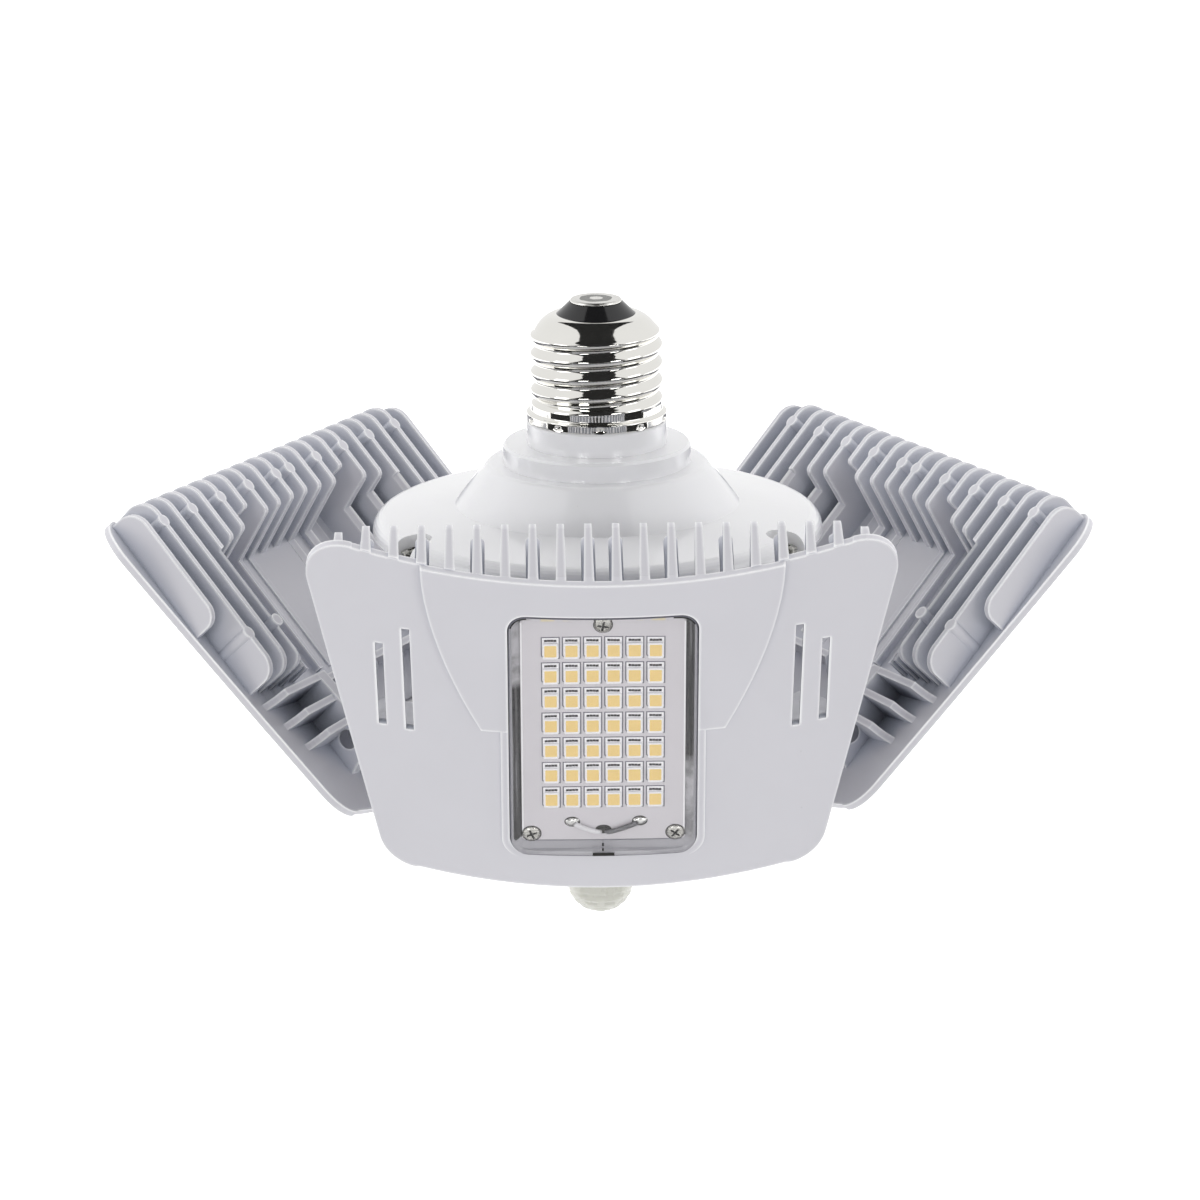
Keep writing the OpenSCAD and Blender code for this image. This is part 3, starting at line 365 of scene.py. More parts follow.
# stops are a place on the ramp and a grey; reach is where frost takes over from the painted dark reflection
# streaks
streakPlan = {"scale": 1600, "stretch": (1.0, 0.6, 0.02), "patches": 500, "coarse": 0.3,
              "middle": 39, "lean": 10, "reach": (18, 20), "rough": 0.3, "blueCast": 1.04,
              "dark": [(0.4, 0.02), (0.72, 0.4), (0.5, 0.06), (0.6, 0.15)],
              "frost": [(0.38, 0.3), (0.62, 0.56), (0.46, 0.42)]}


def greyRamp(tree, value, stops):
    ramp = node(tree, "ValToRGB", {0: value})
    elements = ramp.color_ramp.elements
    for n, (place, tone) in enumerate(stops):
        stop = elements[n] if n < 2 else elements.new(place)
        stop.position, stop.color = place, (tone, tone, tone * streakPlan["blueCast"], 1)
    return ramp.outputs["Color"]


def makeLensStreak():
    # gap beside the board: painted dark reflections drawn out along it, frosted towards its ends
    plan = streakPlan
    material, tree, shader = newMaterial("lensStreak")
    lines = effect(tree, "brush", Scale=plan["scale"], Stretch=plan["stretch"])["Value"]
    patches = effect(tree, "grain", Scale=plan["patches"], Coarse=plan["coarse"])["Height"]
    split = node(tree, "SeparateXYZ", {0: objectPlace(tree)}).outputs
    side = calc(tree, "SIGN", split["X"])
    centre = calc(tree, "MULTIPLY_ADD", side, plan["lean"] * mm, plan["middle"] * mm)
    away = calc(tree, "ABSOLUTE", calc(tree, "SUBTRACT", split["Z"], centre))
    ends = remap(tree, away, *[v * mm for v in plan["reach"]])
    color = mixTones(tree, ends, greyRamp(tree, lines, plan["dark"]), greyRamp(tree, patches, plan["frost"]))
    feed(tree, shader, {"Base Color": color, "Roughness": plan["rough"]})
    return material


look = {name: makeFinish(name, plan) for name, plan in finishes.items()}
look["lensStreak"] = makeLensStreak()
look["lensClear"] = makeLensClear()
print("materials made:", len(look))

# finish of each solid piece; the three panels share theirs

nodeFinish = {"contact_tip": "contactMetal", "base_insulator": "blackGlass", "top_cover": "hubPlastic",
              "cover_screws": "screwSteel", "driver_housing": "hubPlastic", "driver_board": "boardGreen",
              "driver_transformer": "windingTape", "driver_capacitors": "capSleeve", "hinge_hub": "hubCast",
              "hub_screws": "screwSteel", "sensor_board": "boardGreen", "sensor_element": "canMetal",
              "bottom_cap": "hubPlastic", "cap_screws": "screwSteel", "screw_shell": "nickel",
              "sensor_dome": "domeMilk", "heatsink": "castPaint", "lens": "lensClear",
              "lens_gasket": "gasketRubber", "led_board": "boardWhite", "leds": "ledFrame",
              "board_screws": "screwSteel", "board_leads": "leadWhite", "hinge_pin": "pinSteel",
              "hinge_washers": "washerSteel"}
# edge rounding for the pieces whose edges catch the light
roundingPlan = {"segments": 2, "angle": 40,
                "width": {"heatsink": 0.22, "hinge_hub": 0.3, "top_cover": 0.2, "driver_housing": 0.2,
                          "bottom_cap": 0.2, "contact_tip": 0.15, "hinge_pin": 0.15}}


def plainName(name):
    side, _, rest = name.partition("_")
    return rest if side in panelPlan["sides"] else name


def dressNodes():
    plan = roundingPlan
    for name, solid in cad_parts.items():
        plain = plainName(name)
        solid.data.materials.clear()
        solid.data.materials.append(look[nodeFinish[plain]])
        if plain in plan["width"]:
            bevel = solid.modifiers.new("edgeRounding", "BEVEL")
            bevel.width = plan["width"][plain] * mm
            bevel.segments = plan["segments"]
            bevel.limit_method = "ANGLE"
            bevel.angle_limit = math.radians(plan["angle"])
            bevel.harden_normals = True


dressNodes()
print("solid pieces dressed")

# tools for the finer pieces


def panelPlace(side):
    turn, tilt = panelPlan["sides"][side]
    hinge = Vector((0, -hubPlan["hingeRadius"], hubPlan["tipHeight"] - hubPlan["hingeDrop"]))
    back = Vector((0, -panelPlan["hingeBack"], -panelPlan["hingeUp"]))
    return (Matrix.Rotation(math.radians(turn), 4, "Z") @ Matrix.Translation(hinge * mm)
            @ Matrix.Rotation(math.radians(tilt), 4, "X") @ Matrix.Translation(back * mm))


def finishMesh(work, name, materials, smooth=True, sharp=40):
    mesh = bpy.data.meshes.new(name)
    bmesh.ops.recalc_face_normals(work, faces=work.faces)
    bmesh.ops.scale(work, vec=(mm, mm, mm), verts=work.verts)
    if smooth:
        for face in work.faces:
            face.smooth = True
        for edge in work.edges:
            if len(edge.link_faces) == 2 and edge.calc_face_angle(0) > math.radians(sharp):
                edge.smooth = False
    work.to_mesh(mesh)
    work.free()
    for material in materials:
        mesh.materials.append(look[material])
    return mesh


def addPiece(name, mesh, body, place=None, standsFor=()):
    piece = addObject(name, mesh)
    if place is not None:
        piece.matrix_world = place
    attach(piece, body)
    if standsFor:
        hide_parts(*standsFor)


def polar(radius, angle, z):
    return radius * math.cos(angle), radius * math.sin(angle), z


def loop(work, count, spot):
    # closed row of points; spot gives the place at an angle
    return [work.verts.new(spot(2 * math.pi * i / count)) for i in range(count)]


def ring(work, radius, z, count):
    return loop(work, count, lambda a: polar(radius, a, z))


def bridge(work, low, high, material=0):
    count = len(low)
    for i in range(count):
        j = (i + 1) % count
        work.faces.new((low[i], low[j], high[j], high[i])).material_index = material


def bridgeAll(work, rows, material=0):
    for low, high in zip(rows, rows[1:]):
        bridge(work, low, high, material)


def flatStrip(work, points, y, material=0):
    work.faces.new([work.verts.new((x, y, z)) for x, z in points]).material_index = material


def flatBox(work, left, low, right, high, y, material=0):
    flatStrip(work, [(left, low), (right, low), (right, high), (left, high)], y, material)


def upright(centre, y, radius, angle, squash=1.0):
    x, z = centre
    return x + radius * math.cos(angle), y, z + radius * math.sin(angle) * squash


def flatRing(work, centre, y, radii, count, material, squash=1.0):
    rows = [loop(work, count, lambda a: upright(centre, y, radius, a, squash)) for radius in radii]
    bridge(work, *rows, material)


# screw shell with its true helix; the dome is radii with their depths, the steps are measured from the
# waist or the skirt, and a crimp is how deep and wide it is, its height above the edge and how tall it is

shellPlan = {"crest": 13.15, "root": 12.1, "pitch": 3.63, "firstCrest": 7.4, "roundness": 0.85,
             "turnsStart": 5.3, "startEase": 1.6, "turnsEnd": 20.3, "endEase": 1.2,
             "dome": [(7.8, 3.0), (8.7, 3.06), (9.7, 3.45), (10.7, 4.15), (11.5, 5.0), (12.0, 5.9)],
             "waist": 13.0, "skirt": 13.9, "skirtTop": 22.35, "skirtLow": 24.3, "threadGap": 0.3,
             "waistSteps": [(0.0, -0.25), (0.12, -0.05)], "skirtSteps": [(-0.25, 0.12), (-0.05, 0.25)],
             "skirtRows": 9, "rowStart": 0.35, "rowStep": 0.17, "rowInset": 0.02,
             "footSteps": [(-0.06, -0.06), (-0.2, 0.0)], "crimps": 10, "crimpTurn": 2,
             "crimp": (0.55, 0.55, 0.75, 0.42), "wall": 0.4, "around": 200, "step": 0.13,
             "lip": 0.1, "liningShoulder": (0.6, -0.4), "liningTop": 6.4, "liningNeck": (7.8, 5.0)}


def shellRadius(depth, angle):
    plan = shellPlan
    crest = plan["firstCrest"] - plan["pitch"] * (angle - math.pi) / (2 * math.pi)
    phase = (depth - crest) / plan["pitch"]
    wave = (0.5 + 0.5 * math.cos(2 * math.pi * phase)) ** plan["roundness"]
    enter = min(1, max(0, (depth - plan["turnsStart"]) / plan["startEase"]))
    radius = plan["root"] + (plan["crest"] - plan["root"]) * wave * enter * enter * (3 - 2 * enter)
    leave = min(1, max(0, (plan["turnsEnd"] + plan["endEase"] / 2 - depth) / plan["endEase"]))
    return radius * leave + plan["waist"] * (1 - leave)


def crimpDent(depth, angle):
    # how far the skirt is pressed in near its closest crimp
    plan = shellPlan
    gap = 360 / plan["crimps"]
    turn = (math.degrees(angle) + 90 - plan["crimpTurn"]) % gap
    along = math.radians(min(turn, gap - turn)) * plan["skirt"]
    deep, wide, up, tall = plan["crimp"]
    return deep * math.exp(-(along / wide) ** 2 - ((depth - plan["skirtLow"] + up) / tall) ** 2)


def makeShell():
    plan = shellPlan
    work = bmesh.new()
    top, count = hubPlan["tipHeight"], plan["around"]
    waist, skirt, wall = plan["waist"], plan["skirt"], plan["wall"]
    skirtTop, skirtLow = plan["skirtTop"], plan["skirtLow"]
    rows = [ring(work, radius, top - depth, count) for radius, depth in plan["dome"][:-1]]
    depth = plan["dome"][-1][1]
    while depth < skirtTop - plan["threadGap"]:
        rows.append(loop(work, count, lambda a: polar(shellRadius(depth, a), a, top - depth)))
        depth += plan["step"]
    outline = [(waist + out, skirtTop + down) for out, down in plan["waistSteps"]]
    outline += [(skirt + out, skirtTop + down) for out, down in plan["skirtSteps"]]
    outline += [(skirt - plan["rowInset"], skirtTop + plan["rowStart"] + k * plan["rowStep"])
                for k in range(plan["skirtRows"])]
    outline += [(skirt + out, skirtLow + down) for out, down in plan["footSteps"]]
    for radius, depth in outline:
        rows.append(loop(work, count, lambda a: polar(radius - crimpDent(depth, a), a, top - depth)))
    inside = plan["root"] - wall
    below, above = plan["liningShoulder"]
    for radius, depth in [(skirt - wall - plan["lip"], skirtLow), (skirt - wall, skirtTop + below),
                          (inside, skirtTop + above), (inside, plan["liningTop"]), plan["liningNeck"]]:
        rows.append(ring(work, radius, top - depth, count))
    bridgeAll(work, rows + rows[:1])
    mesh = finishMesh(work, "screwShell", ["nickel"], sharp=55)
    addPiece("screwShell", mesh, "hub", standsFor=["screw_shell"])


makeShell()
print("screw shell turned")

# sensor dome with its small lens facets; bands are the angles from its tip where rows of facets start

domePlan = {"radius": 6.9, "neck": 3.9, "neckStep": 0.01, "flange": 8.7, "flangeUp": 5.1, "across": 12,
            "fewest": 6, "perCell": 4, "perBand": 3, "bulge": 0.02, "bands": [90, 74, 58, 42, 26, 10]}


def makeDome():
    plan = domePlan
    work = bmesh.new()
    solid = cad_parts["sensor_dome"]
    lowest = min((solid.matrix_world @ Vector(corner)).z for corner in solid.bound_box) / mm
    size, centre, neck = plan["radius"], lowest + plan["radius"], plan["neck"]
    count = plan["across"] * plan["perCell"]
    outline = [(plan["flange"], plan["flangeUp"]), (plan["flange"], neck), (size, neck - plan["neckStep"]),
               (size, 0)]
    rows = [ring(work, radius, centre + up, count) for radius, up in outline]
    bands, parts = plan["bands"], plan["perBand"]
    # each band steps in slightly where its row of lens facets ends
    for n, (wide, narrow) in enumerate(zip(bands, bands[1:] + [0])):
        cells = max(plan["fewest"], plan["across"] - 2 * n)
        for part in range(1, parts + 1):
            tilt = math.radians(wide + (narrow - wide) * part / parts)

            def facet(angle):
                cell = angle / (2 * math.pi) * cells % 1
                sink = plan["bulge"] * (abs(math.cos(math.pi * cell)) ** 6 + (part == parts))
                radius = size * (1 - sink)
                return polar(radius * math.sin(tilt), angle, centre - radius * math.cos(tilt))

            rows.append(loop(work, count, facet))
    bridgeAll(work, rows)
    work.faces.new(rows[-1])
    work.faces.new(rows[0])
    mesh = finishMesh(work, "sensorDome", ["domeMilk"], sharp=12)
    addPiece("sensorDome", mesh, "hub", standsFor=["sensor_dome"])


makeDome()
print("sensor dome made")

# LED board details; x is across the panel, y is depth behind its front, z is height above its hinge end;
# layers are the heights of flat marks over the board's face

boardPlan = {"face": 0.9, "columns": 6, "rows": 7, "columnStep": 3.98, "rowStep": 5.89, "lowRow": 20.9,
             # edge and edgeInset size the painted highlight along the board's cut edges
             "half": 15.6, "low": 11.1, "high": 63.3, "edge": 0.3, "edgeInset": 0.6,
             "layers": {"silk": 0.016, "line": 0.02, "over": 0.03, "top": 0.035},
             "package": (2.9, 3.5, 0.6), "frameCut": 0.16, "frameRound": 0.1, "well": (2.48, 2.86),
             "wellCut": 0.1, "wellEdge": (0.04, -0.1), "wellDeep": 0.14, "gelBulge": 0.05,
             # outline, line, lineSlope, outlineLift and chamfer shape the grey painted shadow round each LED
             # package
             "outline": (3.6, 5.1), "line": 0.22, "lineSlope": 0.4, "outlineLift": 0.48, "chamfer": 0.7,
             "mark": (2.35, 0.5), "markLift": 2.14, "markParts": 4, "markFill": 0.93, "markWaver": 0.06,
             "silk": (3.3, 4.75), "silkCut": 0.5,
             "screws": [(-13.8, 12.6), (13.8, 12.6), (0, 61.9)], "screwHead": 1.72, "headHeight": 0.5}


def layer(name):
    return boardPlan["face"] - boardPlan["layers"][name]


def ledSpots():
    plan = boardPlan
    for i in range(plan["columns"]):
        for j in range(plan["rows"]):
            yield (i - (plan["columns"] - 1) / 2) * plan["columnStep"], plan["lowRow"] + j * plan["rowStep"]


def cutCorners(halfWide, halfTall, cut):
    # outline of a rectangle with its corners cut off
    points = []
    for sx, sz in [(-1, -1), (1, -1), (1, 1), (-1, 1)]:
        pair = [(sx * halfWide, sz * (halfTall - cut)), (sx * (halfWide - cut), sz * halfTall)]
        points += pair if sx * sz > 0 else pair[::-1]
    return points


def makePackages():
    # white frame with a shallow sloping well, and the phosphor that fills it
    plan = boardPlan
    wide, tall, deep = plan["package"]
    frameCut, wellCut = plan["frameCut"], plan["wellCut"]
    wellWide, wellTall = plan["well"][0] / 2, plan["well"][1] / 2
    front, less, (more, slope) = plan["face"] - deep, plan["frameRound"], plan["wellEdge"]
    outline = [(wide / 2, tall / 2, frameCut, plan["face"]), (wide / 2, tall / 2, frameCut, front + less),
               (wide / 2 - less, tall / 2 - less, frameCut, front),
               (wellWide + more, wellTall + more, wellCut, front),
               (wellWide + slope, wellTall + slope, wellCut, front + plan["wellDeep"])]
    work = bmesh.new()
    white, phosphor = range(2)
    for x, z in ledSpots():
        rows = [[work.verts.new((x + px, y, z + pz)) for px, pz in cutCorners(halfWide, halfTall, cut)]
                for halfWide, halfTall, cut, y in outline]
        bridgeAll(work, rows, white)
        poked = bmesh.ops.poke(work, faces=[work.faces.new(rows[-1])])
        poked["verts"][0].co.y -= plan["gelBulge"]
        for face in poked["faces"]:
            face.material_index = phosphor
    return finishMesh(work, "ledPackages", ["ledFrame", "ledPhosphor"], sharp=30)


def makePrintAndPaintedLight():
    # under each LED a white patch in a thin grey outline of painted shadow round the package, and over it a
    # dark dash
    plan = boardPlan
    work = bmesh.new()
    grey, dark, white = range(3)
    line, cut = plan["line"], plan["chamfer"]
    slope = cut + line * plan["lineSlope"]
    wide, tall = plan["outline"][0] / 2, plan["outline"][1] / 2
    outer = [(-wide + cut, -tall), (wide, -tall), (wide, tall), (-wide, tall), (-wide, -tall + cut)]
    inner = [(-wide + slope, -tall + line), (wide - line, -tall + line), (wide - line, tall - line),
             (-wide + line, tall - line), (-wide + line, -tall + slope)]
    dash, dashHalf = plan["mark"][0] / plan["markParts"], plan["mark"][1] / 2
    silkWide, silkTall, silkCut = plan["silk"][0] / 2, plan["silk"][1] / 2, plan["silkCut"]
    silk = [(-silkWide + silkCut, -silkTall), (silkWide, -silkTall), (silkWide, silkTall),
            (-silkWide, silkTall), (-silkWide, -silkTall + silkCut)]
    for x, z in ledSpots():
        up = z + plan["outlineLift"]
        for i in range(len(outer)):
            j = (i + 1) % len(outer)
            corners = outer[i], outer[j], inner[j], inner[i]
            flatStrip(work, [(x + p, up + q) for p, q in corners], layer("line"), grey)
        over = z + plan["markLift"]
        for k in range(plan["markParts"]):
            left = x - plan["mark"][0] / 2 + k * dash
            right = left + dash * plan["markFill"]
            rise = plan["markWaver"] * math.sin(5 * k + 3 * x + over)
            flatStrip(work, [(left, over - dashHalf + rise), (right, over - dashHalf),
                             (right, over + dashHalf), (left, over + dashHalf + rise)], layer("over"), dark)
        flatStrip(work, [(x + p, up + q) for p, q in silk], layer("silk"), white)
    # painted highlight: white strips along the board's cut edges, where they catch the light
    low, high = plan["low"] + plan["edgeInset"], plan["high"] - plan["edgeInset"]
    for sign in (-1, 1):
        edge = sign * plan["half"]
        flatBox(work, edge - sign * plan["edge"], low, edge, high, layer("line"), white)
    return finishMesh(work, "boardPrint", ["paintedShadowGrey", "printDark", "silkAndEdgeHighlight"], smooth=False)


# headAngle is how far the domed head rounds over, and slot gives the reach and depth of the crossed
# driver slot as shares of the head's radius and height
# the slot's sunk faces are painted dark as shade, and shadow gives the painted shadow ring round the head's
# edge
headPlan = {"around": 40, "headSteps": 5, "headAngle": 46, "slot": [(0.64, 0.0), (0.6, 0.5), (0.4, 0.7)],
            "arm": 0.2, "heart": 0.15, "turn": 0.4, "turnStep": 0.5, "shadow": (0.16, -0.05)}
headSteel, headDark = range(2)


def panHead(work, spot, turn):
    # domed head with a crossed driver slot
    plan = headPlan
    base, radius, height = boardPlan["face"], boardPlan["screwHead"], boardPlan["headHeight"]
    count, full = plan["around"], math.radians(plan["headAngle"])
    rows = []
    for step in range(plan["headSteps"] + 1):
        lift = full * step / plan["headSteps"]
        reach, rise = radius * math.cos(lift), height * math.sin(lift) / math.sin(full)
        rows.append(loop(work, count, lambda a: upright(spot, base - rise, reach, a + turn)))
    bridgeAll(work, rows, headSteel)
    for n, (reach, sink) in enumerate(plan["slot"]):

        def crossed(angle):
            swing = math.radians((math.degrees(angle) + 45) % 90 - 45)
            arm = plan["arm"] / max(plan["arm"], abs(math.sin(swing)))
            size = radius * min(reach, plan["heart"] + reach * arm * arm)
            return upright(spot, base - height * (1 - sink), size, angle + turn)

        rows.append(loop(work, count, crossed))
        # the slot's walls and floor are painted dark, as shade
        bridge(work, rows[-2], rows[-1], headSteel if n == 0 else headDark)
    work.faces.new(rows[-1]).material_index = headDark


def makeBoardScrews():
    plan = headPlan
    work = bmesh.new()
    for n, spot in enumerate(boardPlan["screws"]):
        panHead(work, spot, plan["turn"] + n * plan["turnStep"])
    # painted shadow: a dark ring on the board round each head
    shadow = [boardPlan["screwHead"] + more for more in plan["shadow"]]
    for spot in boardPlan["screws"]:
        flatRing(work, spot, layer("line"), shadow, plan["around"], headDark)
    return finishMesh(work, "boardScrews", ["screwSteel", "slotDark"], sharp=50)


def tube(work, points, radius, count=12, material=0):
    aslant = Vector((0.3, 1, 0.2))  # a direction that no stretch of the leads runs along
    rows = []
    for n, point in enumerate(points):
        before, after = points[max(0, n - 1)], points[min(len(points) - 1, n + 1)]
        along = (after - before).normalized()
        side = along.cross(aslant).normalized()
        over = along.cross(side)
        rows.append(loop(work, count, lambda a: point + side * radius * math.cos(a)
                         + over * radius * math.sin(a)))
    bridgeAll(work, rows, material)
    for end in (rows[0], rows[-1]):
        work.faces.new(end).material_index = material


# places of the right lead, which the left one mirrors; land is where it ends beside its pad's middle
leadPlan = {"radius": 0.5, "behind": (0.9, 3.2, 12.9), "out": (0.75, 0.75, 12.95), "pull": (0.4, -0.45, 0.1),
            "middle": (2.6, 0.3, 13.2), "lean": 0.4, "land": (-0.5, 0.42, -0.25), "steps": 12,
            "pads": [(-6.0, 15.4), (7.0, 15.5)], "padRing": (1.5, 1.2), "ringSquash": 0.8,
            "solder": [(1.35, 0.0), (1.2, 0.16), (0.95, 0.33), (0.6, 0.48), (0.25, 0.55)], "squash": 0.78,
            "wobble": [(2, 0.1), (5, 0.05)], "solderAround": 20,
            "hole": (3.2, 11.3, 13.5), "holeEdge": 0.1, "dark": (1.55, 12.5, 14.6), "holeAround": 24}


def leadLine(pad):
    # from behind the board up through its hole, then in a bend to the pad
    plan = leadPlan
    side = -1 if pad[0] < 0 else 1
    mirror = Matrix.Scale(side, 3, (1, 0, 0))
    behind, out, pull, middle, land = [mirror @ Vector(plan[name])
                                       for name in ("behind", "out", "pull", "middle", "land")]
    finish = Vector((pad[0], 0, pad[1])) + land
    pulls = [out, out + pull, middle.lerp(finish, plan["lean"]), finish]
    points = [behind, behind.lerp(out, 0.5)]
    for k in range(plan["steps"] + 1):
        t = k / plan["steps"]
        shares = [(1 - t) ** 3, 3 * (1 - t) ** 2 * t, 3 * (1 - t) * t * t, t ** 3]
        points.append(sum((share * pull for share, pull in zip(shares, pulls)), Vector()))
    return points


def makeLeads():
    # two short leads come up through the hole and end in bright solder
    plan = leadPlan
    face = boardPlan["face"]
    work = bmesh.new()
    bright, dark, white = range(2, 5)
    (waves, high), (ripples, low) = plan["wobble"]
    for material, pad in enumerate(plan["pads"]):
        tube(work, leadLine(pad), plan["radius"], material=material)
        rows = []
        for reach, rise in plan["solder"]:

            def blob(angle):
                size = reach * (1 + high * math.sin(waves * angle + pad[0]) + low * math.sin(ripples * angle))
                return upright(pad, face - rise, size, angle, plan["squash"])

            rows.append(loop(work, plan["solderAround"], blob))
        bridgeAll(work, rows, bright)
        work.faces.new(rows[-1]).material_index = bright
        flatRing(work, pad, layer("over"), plan["padRing"], plan["holeAround"], dark, plan["ringSquash"])
    # the board's hole: its lower part lies behind a white patch, and its dark part under the leads is painted
    # shade
    wide, low, high = plan["hole"]
    half, more = wide / 2 + plan["holeEdge"], plan["holeEdge"]
    flatBox(work, -half, low - more, half, high, layer("line"), white)
    half, low, high = plan["dark"]
    turns = [2 * math.pi * i / plan["holeAround"] for i in range(plan["holeAround"])]
    flatStrip(work, [(half * math.cos(a), (low + high) / 2 + (high - low) / 2 * math.sin(a)) for a in turns],
              layer("over"), dark)
    materials = ["leadWhite", "leadGrey", "solder", "slotDark", "boardWhite"]
    return finishMesh(work, "boardLeads", materials, sharp=50)


# window: the clear sheet, the moulded wall behind it, and the painted shadow lines and marks on its front;
# edges are insets with their depths, and each loop of the wall is its insets at the sides, below and above,
# its corner radius, its depth, and whether that follows the bow of the sheet

lensPlan = {"half": 17.95, "low": 7.85, "high": 64.85, "corner": 3.5, "proud": 1.2, "thick": 0.8,
            "across": 24, "cornerSteps": 8, "frontEdge": [(0.5, 0), (0.15, 0.12), (0, 0.4)],
            "backEdge": [(0, 0), (0.5, 0)],
            "wall": {"front": (0.05, 0.05, 0.05, 3.5, 0.12, True), "rim": (0.75, 0.8, 0.45, 2.9, 0.3, True),
                     "gap": (0.9, 0.95, 0.6, 2.75, 1.1, False), "foot": (2.33, 3.15, 0.95, 1.2, 1.4, False),
                     "back": (0.05, 0.05, 0.05, 3.5, 1.45, False)},
            "streakPast": 0.3, "lineLift": 0.02, "line": 0.22, "edgeDepth": 0.38, "cornerLine": 0.5,
            "cornerMark": (1.3, 0.1), "gate": (4.2, 0.8, 8.5), "gateLift": 0.05,
            "slit": [(9.3, 10.0), (10.5, 11.3)], "slitSides": (-0.3, 0.05), "footLine": (0.6, -0.12, 0.04),
            "glow": (63.0, 63.6, 1.3), "glowTaper": 0.15, "glowDepth": 0.75, "glowSpread": 1.05}


def roundLoop(work, half, low, high, corner, depth):
    # closed loop of a rounded rectangle from its upper right; depth is a function of x
    across, steps = lensPlan["across"], lensPlan["cornerSteps"]
    points = []
    for cx, cz, start in [(half - corner, high - corner, 0), (-half + corner, high - corner, 90),
                          (-half + corner, low + corner, 180), (half - corner, low + corner, 270)]:
        for i in range(steps + 1):
            a = math.radians(start + 90 * i / steps)
            points.append((cx + corner * math.cos(a), cz + corner * math.sin(a)))
        if start in (0, 180):
            x, z = points[-1]
            points += [(x - 2 * x * i / across, z) for i in range(1, across)]
    return [work.verts.new((x, depth(x), z)) for x, z in points]


def curveBack(x, radius):
    return panelPlan["curve"] - math.sqrt(radius * radius - x * x)


def fillBowed(work, rim):
    # upright strips between the loop's upper and lower edges, so that the sheet keeps its true curve
    count = 2 * lensPlan["cornerSteps"] + lensPlan["across"]
    for i in range(count):
        work.faces.new([rim[i], rim[i + 1], rim[2 * count - i], rim[2 * count + 1 - i]])


def makeLens():
    plan = lensPlan
    work = bmesh.new()
    clear, streak, frost, grey, dark, glow = range(6)
    outer = panelPlan["curve"] + plan["proud"]
    inner = outer - plan["thick"]
    half, low, high, corner = plan["half"], plan["low"], plan["high"], plan["corner"]
    beside, below, above = plan["wall"]["foot"][:3]
    foot, footLow, footHigh = half - beside, low + below, high - above

    def front(x):
        return curveBack(x, outer) - plan["lineLift"]

    # clear bowed sheet with a rounded edge
    sheet = [roundLoop(work, half - inset, low + inset, high - inset, corner - inset,
                       lambda x: curveBack(x, radius) + depth)
             for radius, edge in ((outer, plan["frontEdge"]), (inner, plan["backEdge"]))
             for inset, depth in edge]
    bridgeAll(work, sheet, clear)
    fillBowed(work, sheet[0])
    fillBowed(work, sheet[-1])
    wall = [roundLoop(work, half - beside, low + below, high - above, turn,
                      lambda x: curveBack(x, inner) + depth if bowed else depth)
            for beside, below, above, turn, depth, bowed in plan["wall"].values()]
    # the wall's two inner slopes carry painted dark reflection streaks beside the board and are frosted above
    # and below it
    for n, (first, second) in enumerate(zip(wall, wall[1:] + wall[:1])):
        for i in range(len(first)):
            k = (i + 1) % len(first)
            face = work.faces.new((first[i], first[k], second[k], second[i]))
            middle = face.calc_center_median()
            streaked = abs(middle.x) > foot and footLow < middle.z < footHigh + plan["streakPast"]
            face.material_index = streak if n in (1, 2) and streaked else frost
    # painted shadow along the window's edge: a dark line all round, black at the upper corners; then the
    # moulding gate with its slit
    edge = roundLoop(work, half, low, high, corner, lambda x: curveBack(x, outer) + plan["edgeDepth"])
    line = [roundLoop(work, half - wide, low + wide, high - wide, corner - wide, front)
            for wide in (plan["line"], plan["cornerLine"])]
    bridge(work, edge, line[0], grey)
    long, short = plan["cornerMark"]
    for i in range(len(edge) - 1):
        spot = edge[i].co
        if high - corner < spot.z and half - long * corner < abs(spot.x) < half - short:
            work.faces.new((edge[i], edge[i + 1], line[1][i + 1], line[1][i])).material_index = dark
    wide, tall, z = plan["gate"]
    flatBox(work, -wide / 2, z - tall / 2, wide / 2, z + tall / 2, front(0) - plan["gateLift"], dark)
    left, right = plan["slitSides"]
    for bottom, top in plan["slit"]:
        flatBox(work, left, bottom, right, top, front(0) - plan["lineLift"], dark)
    # painted shadow line under the board's lower edge, and the painted glow of the LED columns in the wall
    # over the board
    inset, below, above = plan["footLine"]
    flatBox(work, inset - foot, footLow + below, foot - inset, footLow + above, layer("top"), grey)
    bottom, top, reach = plan["glow"]
    for x, z in ledSpots():
        if z == boardPlan["lowRow"]:
            x *= plan["glowSpread"]
            flatStrip(work, [(x - reach, bottom), (x + reach, bottom), (x + reach - plan["glowTaper"], top),
                             (x - reach + plan["glowTaper"], top)], plan["glowDepth"], glow)
    materials = ["lensClear", "lensStreak", "lensFrost", "paintedShadowGrey", "slotDark", "glowPatch"]
    return finishMesh(work, "lensWindow", materials, sharp=60)


# mesh, replaced solids and slot of each piece that every panel has
detail = {"lensWindow": (makeLens(), ["lens"], "lens"), "ledPackages": (makePackages(), ["leds"], "led"),
          "boardPrint": (makePrintAndPaintedLight(), [], "white_board"),
          "boardScrews": (makeBoardScrews(), ["board_screws"], "screw_steel"),
          "boardLeads": (makeLeads(), ["board_leads"], "lead")}
for side in panelPlan["sides"]:
    for name, (mesh, stands, slot) in detail.items():
        addPiece(side + name[0].upper() + name[1:], mesh, side + "_panel", place=panelPlace(side),
                 standsFor=[side + "_" + n for n in stands])
print("LED boards detailed")

# studio in metres: lamps have a place, size, power and whether gloss shows them; flags have a radius, a
# spread to each side, a lowest and highest angle, and whether they narrow upwards like an arch

